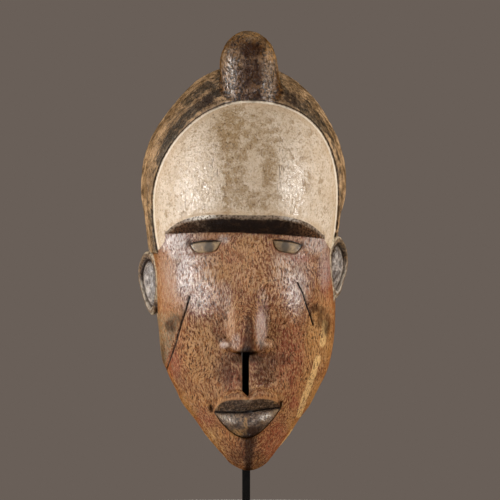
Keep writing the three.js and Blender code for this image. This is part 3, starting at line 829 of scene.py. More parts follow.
# The finest carving and wear, as heights along the surface

# Large unrelated numbers that scatter the middles of the tool marks: by row, by column and in all
SCATTER_ACROSS = (12.9898, 78.233, 43758.5453)
SCATTER_UP = (39.346, 11.135, 24634.6345)


def scattered(row, column, seed, numbers):
    """A number from 0 to 1 that differs without order from one tool mark to the next."""
    value = np.sin(row * numbers[0] + column * numbers[1] + seed) * numbers[2]
    return value - np.floor(value)


def tool_facets(x, y, z, width, tall, seed):
    """Scoops left by a gouge or adze, one beside the other. 0 at their middles and up to 1 between them."""
    turn = np.arctan2(x, -y) * 60
    nearest = np.full(x.shape, 9.0)
    row, column = np.floor(z / tall), np.floor(turn / width)
    for dr in (-1, 0, 1):
        for dc in (-1, 0, 1):
            r, c = row + dr, column + dc
            jog, jag = [scattered(r, c, seed, numbers) for numbers in (SCATTER_ACROSS, SCATTER_UP)]
            away = np.hypot(turn / width - c - 0.2 - 0.6 * jog, z / tall - r - 0.2 - 0.6 * jag)
            nearest = np.minimum(nearest, away)
    return np.minimum(nearest, 1.2) ** 2


# How far each kind of wear and tool mark rises or sinks
MARKS = {
    "hand": 0.35, "small_hand": 0.2, "grain": 0.24, "combed": 0.22, "knob": 0.3, "knob_pits": 0.9,
    "hair": 0.16, "nicks": 0.8, "adze": 1.1, "facets": 0.22, "hollow": 0.75,
}


def wear_height(x, y, z):
    """How far the surface rises or sinks with tool marks, grain, pits and nicks."""
    outer = face_side(x, y, z)
    hair = smooth(-0.5, 1, hair_inside(x, y, z)) * outer
    knob = smooth(1.5, -0.5, knob_solid(x, y, z)) * outer
    white = smooth(-0.5, 1, white_inside(x, y, z)) * outer
    face = outer * (1 - np.maximum(np.maximum(hair, knob), white))
    hand = MARKS["hand"] * roughness_at(x, y, z, 22, 1.2)
    hand = hand + MARKS["small_hand"] * roughness_at(x, y, z, 7, 1.5, shift=3.1)
    strokes = np.maximum(roughness_at(x, y, z, 2.8, 3.0, shift=9.7) - 0.1, 0)
    grain = -MARKS["grain"] * strokes * (face + 0.3 * white)
    stripes = np.abs(hairline_distance(x, z) + 2.2 * roughness_at(x, y, z, 16, shift=5.0))
    combed = MARKS["combed"] * np.sin(stripes * 1.9) * roughness_at(x, y, z, 12, shift=2.0)
    combed = combed * hair * (1 - knob)
    pitted = MARKS["knob"] * roughness_at(x, y, z, 5.5, 1.1, shift=6.4) * knob
    pits = np.maximum(roughness_at(x, y, z, 3.4, 1.0, shift=4.4) - 0.55, 0)
    pitted = pitted - MARKS["knob_pits"] * pits * knob
    pitted = pitted + MARKS["hair"] * roughness_at(x, y, z, 3.0, 1.6, shift=1.4) * hair
    crest = bead(z - brow_top(x), 1.6) * smooth(1.0, 0.9, np.abs(across_brow(x))) * outer
    nicks = -MARKS["nicks"] * np.maximum(roughness_at(x, y, z, 5, shift=8.2), 0) * crest
    adzed = MARKS["adze"] * tool_facets(x, y, z, 15, 21, 2.0) * (1 - outer)
    faceted = MARKS["facets"] * tool_facets(x, y, z, 11, 15, 5.0) * outer
    return hand + grain + combed + pitted + nicks + adzed + faceted - MARKS["hollow"] * (1 - outer)


# Meshes in Blender

def mesh_object(name, points, faces):
    """A mesh in metres from points in the mask's own millimetres and faces of equal size."""
    place = np.asarray(points) + (0, 0, CHIN_HEIGHT)
    faces = np.asarray(faces)
    mesh = bpy.data.meshes.new(name)
    mesh.vertices.add(len(place))
    mesh.vertices.foreach_set("co", (place * MM).astype(np.float32).ravel())
    mesh.loops.add(faces.size)
    mesh.loops.foreach_set("vertex_index", faces.astype(np.int32).ravel())
    mesh.polygons.add(len(faces))
    mesh.polygons.foreach_set("loop_start", (np.arange(len(faces)) * faces.shape[1]).astype(np.int32))
    mesh.update(calc_edges=True)
    mesh.validate()
    made = bpy.data.objects.new(name, mesh)
    bpy.context.scene.collection.objects.link(made)
    return made


def with_modifiers(made):
    """The object with its modifiers worked into its mesh."""
    graph = bpy.context.evaluated_depsgraph_get()
    done = bpy.data.meshes.new_from_object(made.evaluated_get(graph))
    made.modifiers.clear()
    made.data = done
    return made


def coordinates(mesh):
    flat = np.empty(len(mesh.vertices) * 3, np.float32)
    mesh.vertices.foreach_get("co", flat)
    return flat.reshape(-1, 3).astype(float) / MM - (0, 0, CHIN_HEIGHT)


def store(mesh, name, values):
    layer = mesh.attributes.new(name, "FLOAT", "POINT")
    layer.data.foreach_set("value", np.clip(values, 0, 1).astype(np.float32))


def edge_share(inside, width):
    """A soft mask that is 0.5 on a part's edge, for paint edges that noise then makes ragged."""
    return 0.5 + inside / (2 * width)


def bend_of(mesh, rounds):
    """How sharply the surface bends at each vertex, per millimetre. It is above 0 on ridges."""
    points = coordinates(mesh)
    normals = np.empty(len(points) * 3, np.float32)
    mesh.vertices.foreach_get("normal", normals)
    normals = normals.reshape(-1, 3).astype(float)
    ends = np.empty(len(mesh.edges) * 2, np.int32)
    mesh.edges.foreach_get("vertices", ends)
    a, b = ends.reshape(-1, 2).T
    span = points[b] - points[a]
    bend = ((normals[b] - normals[a]) * span).sum(1) / np.maximum((span * span).sum(1), 0.01)
    both = np.concatenate([a, b])
    count = np.maximum(np.bincount(both, minlength=len(points)), 1)
    value = np.bincount(both, np.concatenate([bend, bend]), len(points)) / count
    for _ in range(rounds):
        near = np.bincount(both, value[np.concatenate([b, a])], len(points)) / count
        value = 0.5 * value + 0.5 * near
    return value


# Patches of paint, dirt and wear, and of painted shade and painted sheen: x and z of the middle, half-width,
# half-height and strength
# Dark stains, together with painted shade: under the nose, partly down the middle of the nose and of the
# knob, and in the outer corners of the eyes and the corners of the mouth
STAIN_AND_SHADE_PATCHES = [
    (6, 36, 7, 5, 1.0), (2.5, 110, 6, 12, 1.0), (2.5, 124, 4, 16, 0.8), (1, 98, 22, 4, 0.9),
    (-15, 86, 13, 14, 0.6), (17, 86, 13, 13, 0.65), (-8, 12, 9, 9, 0.55), (11, 12, 8, 9, 0.5),
    (0.5, 103, 12, 3.5, 1.0), (1, 106, 6, 4, 1.0), (-49.5, 197, 3, 5, 0.9), (48, 195, 3, 5, 0.7),
    (28.5, 58, 2.5, 5, 1.0), (-30, 55, 3, 4, 0.8), (4, 362, 10, 8, 1.0), (4, 342, 12, 17, 0.75),
    (4, 322, 12, 6, 0.6), (22, 97, 20, 8, 0.6), (-14, 97, 16, 5, 0.5), (-14, 78, 12, 7, 0.45),
    (59.5, 141, 4.5, 4.5, 1.0), (64, 130, 3.5, 9, 0.7), (-60, 132, 6, 5, 0.6), (-57, 141, 5, 4, 0.4),
    (-34, 318, 14, 9, 0.5), (36, 320, 12, 9, 0.5), (-72, 100, 3, 12, 0.6), (70, 126, 4, 12, 0.8),
    (66, 138, 4, 5, 0.7), (-65, 126, 6, 7, 0.8),
]
BLACK_ARCS = [
    {"points": [(-74, 268), (-67, 285), (-56, 301), (-43, 313), (-25, 326)], "width": 5, "strength": 1.0},
    {"points": [(-52, 318), (-44, 325), (-32, 334)], "width": 5, "strength": 0.8},
    {"points": [(-27, 324), (-24, 336), (-21, 346)], "width": 5, "strength": 0.75},
    {"points": [(26, 340), (30, 328), (44, 318), (55, 307), (64, 294)], "width": 6, "strength": 0.85},
    {"points": [(52, 320), (64, 306), (74, 288), (80, 270)], "width": 2.2, "strength": 0.75},
    {"points": [(82.5, 262), (83, 222)], "width": 2.4, "strength": 0.4},
    {"points": [(-83, 222), (-80, 208), (-78, 188)], "width": 5, "strength": 0.7},
]
YELLOW_PATCHES = [
    (63, 116, 13, 28, 1.0), (54, 70, 12, 22, 0.9), (42, 42, 8, 14, 0.8), (-26, 172, 18, 14, 0.7),
    (4, 196, 16, 10, 0.7), (-8, 34, 7, 5, 0.8), (-38, 100, 18, 34, 0.75), (-50, 56, 10, 22, 0.6),
    (-30, 28, 12, 14, 0.7), (2, 378, 15, 7, 0.9), (22, 362, 7, 12, 0.8), (-20, 356, 5, 12, 0.4),
    (0, 40, 2.5, 12, 0.6), (32, 174, 14, 14, 0.6), (22, 118, 6, 16, 0.5), (-13, 130, 5, 18, 0.5),
    (30, 70, 10, 22, 0.45), (-30, 66, 14, 18, 0.55), (0, 172, 20, 26, 0.45),
]
RED_PATCHES = [
    (72, 166, 8, 22, 1.0), (44, 184, 14, 5, 0.9), (36, 95, 16, 34, 0.7), (46, 60, 10, 30, 0.8),
    (26, 24, 14, 20, 0.9), (-69, 189, 4, 8, 0.7), (-68, 140, 5, 6, 0.6), (-14, 182, 14, 5, 0.6),
    (-62, 92, 8, 14, 0.9), (-36, 46, 10, 12, 0.6), (-12, 82, 10, 12, 0.7), (40, 118, 10, 10, 0.6),
    (6, 345, 12, 14, 0.6), (0, 108, 8, 14, 0.5), (14, 134, 6, 14, 0.5),
]
TAN_PATCHES = [
    (-69, 160, 10, 36, 1.0), (-62, 140, 12, 16, 0.8), (-28, 205, 14, 6, 0.5), (-14, 134, 6, 22, 0.6),
    (70, 140, 8, 16, 0.6), (58, 110, 10, 18, 0.4), (0, 180, 24, 22, 0.45),
]
# Where a pale painted sheen lies: on the cheeks, under the ends of the brow and on the nose
PAINTED_SHEEN_PATCHES = [
    (-61, 199, 13, 11, 0.95), (-59, 189, 9, 8, 0.8), (-52, 172, 9, 22, 0.85), (-42, 154, 14, 16, 0.5),
    (60, 197, 12, 10, 0.6), (44, 160, 10, 20, 0.5), (-20, 200, 6, 4, 0.6), (68, 178, 7, 20, 0.35),
    (-48, 176, 22, 34, 0.35), (40, 176, 18, 26, 0.3), (13, 124, 5, 18, 0.5), (-9, 113, 4, 7, 0.45),
    (-20, 150, 8, 14, 0.3), (-18, 110, 4, 3, 0.6),
]
# Painted shadow under the tip of the nose, and painted shade in the creases by its wings
NOSE_SHADE_PATCHES = [
    (0.5, 103.2, 9, 2.8, 1.0), (0.5, 106, 5, 3.4, 0.8), (12.5, 110, 1.4, 6, 0.6), (-22.5, 114, 3, 2, 0.5),
]
DIRT_PATCHES = [
    (-15, 292, 13, 26, 0.9), (-10, 252, 11, 26, 0.8), (20, 268, 8, 30, 0.6), (4, 234, 28, 10, 0.5),
    (4, 290, 24, 22, 0.5), (-36, 244, 4, 8, 0.4), (52, 250, 4, 10, 0.5), (-4, 270, 8, 10, 0.6),
]
# Polished places, which shine more; on the knob and the lower lip they also carry a painted sheen
POLISH_AND_SHEEN_PATCHES = [
    (-52, 170, 13, 28, 1.0), (-38, 152, 13, 18, 0.9), (-56, 176, 20, 36, 0.5), (-61, 196, 13, 14, 1.0),
    (44, 158, 12, 26, 1.0), (46, 178, 18, 34, 0.55), (62, 198, 12, 12, 0.9), (68, 176, 8, 22, 0.5),
    (-42, 246, 18, 28, 0.24), (42, 242, 14, 28, 0.66), (-14, 134, 5, 18, 0.45), (13, 134, 6, 22, 0.9),
    (-14, 336, 6, 26, 0.45), (20, 336, 7, 28, 0.6), (-17.5, 111, 5, 4.5, 1.0), (18.5, 111, 5, 4.5, 1.0),
    (-16, 46.5, 9, 5, 0.8), (18.5, 48, 9, 4.5, 0.8),
]
# A band of painted shade down the middle of the chin, narrow at its tip and wider higher up
CHIN_SHADE = {"x": 2.4, "lean": 0.03, "level": 20, "narrow": 3.2, "wide": 6.2}
CRACKLETS = {"left_x": -27.5, "right_x": 29.5, "half_width": 6, "height": 262, "half_height": 50}
# Where the painted highlights on the brow's crest lie, and how strong they are
CREST_HIGHLIGHTS = {"left_x": -38, "left_half": 20, "right_x": 37, "right_half": 13, "right": 0.42, "least": 0.08}
HAIRLINE_REACH = 30

# The patches that lie only on the front
FRONT_PATCHES = {
    "dark": STAIN_AND_SHADE_PATCHES,
    "tan": TAN_PATCHES,
    "painted_sheen": PAINTED_SHEEN_PATCHES,
    "painted_nose_shade": NOSE_SHADE_PATCHES,
    "polish_and_sheen": POLISH_AND_SHEEN_PATCHES,
}
PALE_STREAKS = [
    {"points": [(-12, 152), (-13.5, 134), (-13, 116)], "width": 5, "strength": 0.35},
    {"points": [(62, 98), (57, 82), (50, 62), (46, 48)], "width": 3, "strength": 1.0},
    {"points": [(68, 128), (66, 110)], "width": 3.5, "strength": 0.8},
    {"points": [(-38, 44), (-26, 26), (-16, 14)], "width": 2.5, "strength": 0.45},
    {"points": [(40, 34), (30, 20)], "width": 2, "strength": 0.7},
]


def patched(x, z, patches):
    """The strength of a set of patches, fading out from each middle."""
    total = np.zeros(x.shape)
    for px, pz, wide, tall, strength in patches:
        away = np.hypot((x - px) / wide, (z - pz) / tall)
        total = np.maximum(total, strength * (1 - smooth(0.45, 1.35, away)))
    return total


def arcs(x, z, bands):
    total = np.zeros(x.shape)
    for arc in bands:
        away = np.abs(line_distance(x, z, arc["points"]))
        total = np.maximum(total, arc["strength"] * (1 - smooth(0.4, 1.3, away / arc["width"])))
    return total


def ear_share(x, y, z):
    """The share of the way from an ear's middle to a line round it, which lies at 1.5 times its rim."""
    nearest = np.full(x.shape, 2.0)
    for ear in EARS:
        share, _, out = ear_place(ear, x, y, z)
        nearest = np.minimum(nearest, np.maximum(share, np.abs(out) / EAR_PAINT["thickness"]))
    return nearest / EAR_PAINT["widest"]


def ear_height(x, y, z):
    """How high on its ear a point lies, from -1 at the tip to 1 at the top."""
    left, right = [ear_place(ear, x, y, z)[1] for ear in EARS]
    return np.where(x < 0, left, right)


def ear_inside(x, y, z):
    return (EAR_PAINT["reach"] - EAR_PAINT["widest"] * ear_share(x, y, z)) * EAR["half_width"]


def eye_zones(x, y, z):
    """How near a point is to an eye, and how far it lies above the line of its upper lid."""
    near = np.zeros(x.shape)
    above = np.full(x.shape, 6.0)
    for eye in EYES:
        u, v = eye_place(eye, x, y, z)[:2]
        top = eye_outline(eye, u, eye["half_length"], EYE_POCKET["above"], EYE_POCKET["below"])[0]
        across = u / (eye["half_length"] + EYE_SURROUND["beyond"])
        away = np.hypot(across, (v + EYE_SURROUND["below"]) / EYE_SURROUND["half_height"])
        near = np.maximum(near, 1 - smooth(0.8, 1.1, away))
        by_lid = np.abs(u) < eye["half_length"] + EYE_SURROUND["lid_beyond"]
        above = np.where(by_lid, v - top - EYE_SURROUND["lid_over"], above)
    return near, above


def crack_offset(x, z):
    """How far a point lies from the nearer crack, above 0 on one of its sides and below 0 on the other."""
    return np.where(x < 0, line_distance(x, z, LEFT_CRACK), line_distance(x, z, RIGHT_CRACK))


def crack_reach(x, z):
    """1 beside a crack and 0 above and below it."""
    low = np.where(x < 0, LEFT_CRACK[-1][1], RIGHT_CRACK[-1][1])
    high = np.where(x < 0, LEFT_CRACK[0][1], RIGHT_CRACK[0][1])
    return smooth(low - 1, low + 1, z) * smooth(high + 1, high - 1, z) * smooth(30, 38, np.abs(x))


def paint_zones(mask):
    """Stores where each kind of paint, wear and dirt, and the painted shade and sheen, lie on the mask's
    mesh.
    """
    mesh = mask.data
    x, y, z = coordinates(mesh).T
    outer, front, sides = face_side(x, y, z), smooth(10, -6, y), smooth(30, 10, y)
    knob = 0.8 + 3.5 * smooth(338, 322, z) - knob_solid(x, y, z)
    knob = np.where(hairline_distance(x, z) < 0, -1, knob)
    brow_share = np.abs(across_brow(x))
    crest = edge_share(z - 0.1 - brow_paint_top(x), 4)
    left_highlight = hump((x - CREST_HIGHLIGHTS["left_x"]) / CREST_HIGHLIGHTS["left_half"])
    right_highlight = CREST_HIGHLIGHTS["right"] * hump((x - CREST_HIGHLIGHTS["right_x"]) / CREST_HIGHLIGHTS["right_half"])
    beside_mouth = smooth(1.02, 0.97, np.abs(x - MOUTH["x"]) / MOUTH["half_width"])
    band = np.abs(x - CHIN_SHADE["x"] - CHIN_SHADE["lean"] * (z - CHIN_SHADE["level"]))
    band = band / mix(CHIN_SHADE["narrow"], CHIN_SHADE["wide"], smooth(4, 34, z))
    cracklets = [hump((x - CRACKLETS[side]) / CRACKLETS["half_width"]) for side in ("left_x", "right_x")]
    cracklets = np.maximum(*cracklets) * hump((z - CRACKLETS["height"]) / CRACKLETS["half_height"])
    beyond_crack = smooth(0, -4, beyond_left_crack(x, z)) * smooth(84, 86, z) * smooth(148, 124, z)
    by_eyes, over_lid = eye_zones(x, y, z)
    zones = {
        "outside": outer,
        "white_paint": edge_share(white_inside(x, y, z), 8) * smooth(0.4, 0.6, outer),
        "hair": edge_share(np.maximum(hair_inside(x, y, z), knob), 8),
        "knob": edge_share(knob, 8),
        "brow": edge_share(brow_inside(x, z), 6) * front,
        "brow_crest": np.where(brow_share < 1.02, crest, 1) * front,
        "brow_ends": smooth(0.45, 1.0, brow_share),
        "crest_highlights": np.maximum(np.where(x < 0, left_highlight, right_highlight), CREST_HIGHLIGHTS["least"]),
        "lips": edge_share(lip_inside(x, z), 6) * front,
        "upper_lip": edge_share(np.minimum(z - lip_line(x), lip_inside(x, z)), 6) * front,
        "over_mouth": smooth(-1, 1, z - lip_line(x)) * front,
        "lip_line": edge_share(z - lip_line(x), 6),
        "under_lip": edge_share(z - lip_bottom(x), 6),
        "beside_mouth": beside_mouth * (front > 0),
        "ears": edge_share(ear_inside(x, y, z), 8),
        "ear_share": ear_share(x, y, z),
        "ear_upper": smooth(-0.1, 0.35, ear_height(x, y, z)),
        "black_paint": arcs(x, z, BLACK_ARCS) * sides,
        "pale_streaks": arcs(x, z, PALE_STREAKS) * smooth(-16, -34, y),
        "painted_chin_shade": np.maximum(1 - band / 2, 0) * smooth(40, 30, z) * front,
        "yellow": patched(x, z, YELLOW_PATCHES) * sides,
        "red": patched(x, z, RED_PATCHES) * sides,
        "dirt": patched(x, z, DIRT_PATCHES),
        "cracks": edge_share(crack_offset(x, z), 6),
        "crack_reach": crack_reach(x, z) * sides,
        "cracklets": cracklets,
        "side_wall": beyond_crack * smooth(40, 10, y),
        # How strong the painted shadow beside the hair's raised edge is, weaker low down
        "hairline_shadow_strength": 0.2 + 0.8 * smooth(236, 262, z),
        "from_hairline": edge_share(hairline_distance(x, z), HAIRLINE_REACH),
        "along_hairline": np.arctan2(x, z - HAIRLINE["spring"]) / (2 * math.pi) + 0.5,
        "by_eyes": by_eyes * front,
        "painted_lid_shadow": edge_share(over_lid, 6),
        "ridges": 0.5 + bend_of(mesh, 2) * 1.2,
    }
    for name, patches in FRONT_PATCHES.items():
        zones[name] = patched(x, z, patches) * front
    for name, values in zones.items():
        store(mesh, name, values)


def fewer_faces(made, count, chosen=None):
    """Merges faces where the surface bends least until about count triangles are left."""
    faces = sum(len(face.vertices) - 2 for face in made.data.polygons)
    fewer = made.modifiers.new("fewer_faces", "DECIMATE")
    fewer.ratio = min(1, count / faces)
    if chosen is not None:
        group = made.vertex_groups.new(name="may_merge")
        group.add(chosen.tolist(), 1.0, "REPLACE")
        fewer.vertex_group = group.name
    with_modifiers(made)
    made.vertex_groups.clear()


def keep_within(made, node_name):
    """Holds a mesh within its solid's box."""
    lowest, highest = [np.array(corner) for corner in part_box(node_name)]
    place = (coordinates(made.data) + (0, 0, CHIN_HEIGHT)) * MM
    margin = 0.02 * MM
    place = np.clip(place, lowest + margin, highest - margin)
    made.data.vertices.foreach_set("co", place.astype(np.float32).ravel())
    made.data.update()


def make_mask():
    values, low = sampled(GRID_STEP)
    unambiguous(values)
    points, quads = surface_net(values, low, GRID_STEP)
    points, normal = settled(points, GRID_STEP * 0.5)
    points = points + normal * wear_height(*points.T)[:, None]
    inner = np.flatnonzero(face_side(*points.T) < 0.02)
    mask = mesh_object("carved_mask", points, quads)
    outer_share = 1 - len(inner) / len(points)
    fewer_faces(mask, 2 * len(quads) * (outer_share + INNER_KEPT * (1 - outer_share)), inner)
    fewer_faces(mask, TRIANGLES)
    keep_within(mask, "mask")
    mask.data.polygons.foreach_set("use_smooth", np.ones(len(mask.data.polygons), bool))
    paint_zones(mask)
    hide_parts("mask")
    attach(mask, "root")
    return mask


# An eye is a domed plate of glass in its pocket

def make_eye(eye):
    """A closed plate: a domed front over a flat back, with a lower edge that leans with the lid."""
    columns, rows = GLASS["columns"], GLASS["rows"]
    half = eye["half_length"] - GLASS["end_gap"]
    above, below = EYE_POCKET["above"] - GLASS["edge_gap"], EYE_POCKET["below"] - GLASS["edge_gap"]
    u = half * np.sin(np.linspace(-1, 1, columns + 1) * GLASS_SPAN)
    lean = LOWER_LID["slope"] * (LOWER_LID["depth"] - GLASS["near"])
    across = np.linspace(0, 1, rows + 1)
    uu = np.repeat(u[:, None], rows + 1, 1)
    heights = []
    for reach in (below + lean, below):
        top, bottom = eye_outline(eye, u, half, above, reach)
        heights.append(bottom[:, None] + (top - bottom)[:, None] * across)
    edge = np.sin(math.pi * across)[None, :] * np.cos(uu / half * GLASS_SPAN)
    front = GLASS["near"] - GLASS["dome"] * np.sqrt(np.clip(edge, 0, 1))
    back = np.full(uu.shape, GLASS["far"])
    turn, drop = math.radians(-eye["turn"]), math.radians(-eye["outer_drop"])
    points = []
    for depth, vv in zip((front, back), heights):
        level, dz = turned(uu, vv, drop)
        dx, dy = turned(level, depth, -turn)
        points.append(np.stack([dx + eye["x"], dy + eye["front"], dz + eye["z"]], -1).reshape(-1, 3))
    points = np.concatenate(points)
    number = np.arange((columns + 1) * (rows + 1)).reshape(columns + 1, rows + 1)
    layer = number.size
    quads = []
    for i in range(columns):
        for j in range(rows):
            ring = (number[i, j], number[i + 1, j], number[i + 1, j + 1], number[i, j + 1])
            quads.append(ring)
            quads.append(tuple(k + layer for k in reversed(ring)))
    border = [*number[:-1, 0], *number[-1, :-1], *number[:0:-1, -1], *number[0, :0:-1]]
    for a, b in zip(border, border[1:] + border[:1]):
        quads.append((b, a, a + layer, b + layer))
    glass = mesh_object(eye["node"].replace("inset", "glass"), points, quads)
    glass.data.polygons.foreach_set("use_smooth", np.ones(len(quads), bool))
    across_iris = (uu - IRIS["left_x" if eye["x"] < 0 else "right_x"]) / IRIS["half_width"]
    up_iris = (heights[0] + IRIS["below"]) / IRIS["half_height"]
    iris = 1 - smooth(0.45, 1.25, np.hypot(across_iris, up_iris))
    # The glass's outer end, where painted shade stands in for the deep gap at the eye's corner
    corner = smooth(0.6, 0.95, uu * math.copysign(1, eye["x"]) / half)
    store(glass.data, "corner", np.concatenate([corner.ravel(), corner.ravel()]))
    store(glass.data, "iris", np.concatenate([iris.ravel(), iris.ravel()]))
    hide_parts(eye["node"])
    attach(glass, "root")
    return glass


# Finishes

def tone(code):
    """A colour from its usual six-figure code."""
    parts = [int(code[k : k + 2], 16) / 255 for k in (0, 2, 4)]
    return tuple(((c + 0.055) / 1.055) ** 2.4 if c > 0.04045 else c / 12.92 for c in parts) + (1.0,)


class Value:
    """A number, colour or place that a node gives, for use in sums and as what another node is fed."""

    def __init__(self, socket):
        self.socket, self.tree = socket, socket.id_data

    def __add__(self, other):
        return maths(self.tree, "ADD", self, other)

    def __radd__(self, other):
        return maths(self.tree, "ADD", other, self)

    def __sub__(self, other):
        return maths(self.tree, "SUBTRACT", self, other)

    def __rsub__(self, other):
        return maths(self.tree, "SUBTRACT", other, self)

    def __mul__(self, other):
        return maths(self.tree, "MULTIPLY", self, other)

    def __rtruediv__(self, other):
        return maths(self.tree, "DIVIDE", other, self)

    def __abs__(self):
        return maths(self.tree, "ABSOLUTE", self)


def feed(socket, value):
    if isinstance(value, Value):
        value.tree.links.new(value.socket, socket)
    else:
        socket.default_value = value


def node(tree, kind, inputs=None, **settings):
    made = tree.nodes.new(kind)
    for name, value in settings.items():
        setattr(made, name, value)
    for name, value in (inputs or {}).items():
        feed(made.inputs[name], value)
    return made


def result(tree, kind, inputs, output=0, **settings):
    """What a new node gives out."""
    return Value(node(tree, kind, inputs, **settings).outputs[output])


def maths(tree, operation, *values):
    return result(tree, "ShaderNodeMath", dict(enumerate(values)), operation=operation)


def largest(first, *others):
    for other in others:
        first = maths(first.tree, "MAXIMUM", first, other)
    return first


def over(share, under, top):
    """One colour laid over another by a share."""
    return result(share.tree, "ShaderNodeMix", {0: share, 6: under, 7: top}, 2, data_type="RGBA")


def over_number(share, under, top):
    """One number laid over another by a share."""
    return result(share.tree, "ShaderNodeMix", {0: share, 2: under, 3: top})


def between(share, low, high):
    """A number that goes from low to high with a share."""
    return result(share.tree, "ShaderNodeMapRange", {"Value": share, "To Min": low, "To Max": high})


def step(value, low, high):
    """0 below low and 1 above high, smooth between them."""
    inputs = {"Value": value, "From Min": low, "From Max": high}
    return result(value.tree, "ShaderNodeMapRange", inputs, interpolation_type="SMOOTHSTEP")


def noise(where, scale, detail=2.0, rough=0.5, output="Fac"):
    inputs = {"Vector": where, "Scale": scale, "Detail": detail, "Roughness": rough}
    return result(where.tree, "ShaderNodeTexNoise", inputs, output)


def stored(where, name):
    """A number that the mesh keeps at each vertex."""
    return result(where.tree, "ShaderNodeAttribute", {}, "Fac", attribute_name=name)


def vectors(operation, where, other):
    return result(where.tree, "ShaderNodeVectorMath", {0: where, 1: other}, operation=operation)


def stretched(where, across, up):
    """Coordinates that make a pattern across wide and up tall, in metres."""
    return vectors("MULTIPLY", where, (1 / across, 1 / across, 1 / up))


def bumps(height, strength, distance):
    """The way the surface faces when it rises by a height."""
    inputs = {"Strength": strength, "Distance": distance, "Height": height}
    return result(height.tree, "ShaderNodeBump", inputs)


FLOAT, VECTOR = "NodeSocketFloat", "NodeSocketVector"


def group(name, inputs, outputs):
    """A new node group that is given a place and some numbers, and gives numbers out."""
    tree = bpy.data.node_groups.new(name, "ShaderNodeTree")
    tree.interface.new_socket(name="Where", in_out="INPUT", socket_type=VECTOR)
    for label, value in inputs.items():
        socket = tree.interface.new_socket(name=label, in_out="INPUT", socket_type=FLOAT)
        socket.default_value = value
    for label in outputs:
        tree.interface.new_socket(name=label, in_out="OUTPUT", socket_type=FLOAT)
    given = {socket.name: Value(socket) for socket in tree.nodes.new("NodeGroupInput").outputs}
    return tree, given, tree.nodes.new("NodeGroupOutput").inputs


def use(made, **inputs):
    """What a group gives out at a place. One of its inputs is always the place, Where."""
    placed = node(inputs["Where"].tree, "ShaderNodeGroup", node_tree=made)
    for name, value in inputs.items():
        feed(placed.inputs[name], value)
    return {socket.name: Value(socket) for socket in placed.outputs}


def wood_strokes():
    """Short upright strokes of open grain and pale flecks between them, and how high they stand."""
    tree, given, out = group("wood_strokes", {"Dark": 0.5, "Pale": 0.5}, ["Dark", "Pale", "Height", "Weave"])
    sway = noise(given["Where"], 32.0, 1.0, output="Color")
    sway = vectors("MULTIPLY", vectors("SUBTRACT", sway, (0.5,) * 3), (0.016,) * 3)
    bent = vectors("ADD", given["Where"], sway)
    long = noise(stretched(bent, 0.0015, 0.0050), 1.0, 3.0, 0.7)
    short = noise(stretched(bent, 0.0011, 0.0018), 1.0, 3.0, 0.7)
    both = long * 0.62 + short * 0.38
    feed(out["Dark"], step(both + given["Dark"] * 0.16, 0.565, 0.665))
    feed(out["Pale"], step(given["Pale"] * 0.2 - both, -0.44, -0.32))
    feed(out["Height"], step(both, 0.70, 0.36))
    feed(out["Weave"], noise(stretched(bent, 0.0012, 0.0034), 1.0, 3.0, 0.6))
    return tree


def ragged_edge():
    """Turns a soft mask into paint with a broken edge."""
    tree, given, out = group("ragged_edge", {"Mask": 0.5, "Break": 0.2, "Softness": 0.05}, ["Mask"])
    coarse = noise(stretched(given["Where"], 0.005, 0.009), 1.0, 4.0, 0.65)
    moved = given["Mask"] + (coarse - 0.5) * given["Break"]
    feed(out["Mask"], step(moved, 0.5 - given["Softness"], 0.5 + given["Softness"]))
    return tree


def fine_specks():
    """Small irregular specks, from few to many."""
    tree, given, out = group("fine_specks", {"Size": 0.001, "Amount": 0.5}, ["Mask"])
    lifted = noise(given["Where"], 1.0 / given["Size"], 3.0, 0.6) + given["Amount"] * 0.2
    feed(out["Mask"], step(lifted, 0.62, 0.72))
    return tree


def drawn_line():
    """A thin line where a stored value passes its middle, a little uneven."""
    tree, given, out = group("drawn_line", {"Value": 0.5, "Thin": 0.04, "Wander": 0.03}, ["Mask"])
    wander = noise(given["Where"], 300.0, 3.0, 0.6) - 0.5
    away = abs(given["Value"] + wander * given["Wander"] - 0.5)
    feed(out["Mask"], step(away, given["Thin"] * 2.0, given["Thin"] * 0.6))
    return tree


STROKES, RAGGED, SPECKS, LINE = wood_strokes(), ragged_edge(), fine_specks(), drawn_line()


def new_material(name):
    """A new material, its shader's inputs and the place on the piece."""
    material = bpy.data.materials.new(name)
    material.use_nodes = True
    shader = material.node_tree.nodes["Principled BSDF"]
    return material, shader.inputs, result(material.node_tree, "ShaderNodeTexCoord", {}, "Object")


def laid(under, mask, strength, colour):
    """A colour laid over another where a mask says, at a strength."""
    if isinstance(colour, str):
        colour = tone(colour)
    return over(mask * strength, under, colour)


def broken(where, mask, amount, softness):
    """A mask as paint with a ragged edge."""
    return use(RAGGED, Where=where, Mask=mask, Break=amount, Softness=softness)["Mask"]


def layered(ground, layers):
    """A ground colour under layers, each given by its mask, its strength and its colour."""
    for mask, strength, colour in layers:
        ground = laid(ground, mask, strength, colour)
    return ground


def two_tones(share, first, second):
    return over(share, tone(first), tone(second))


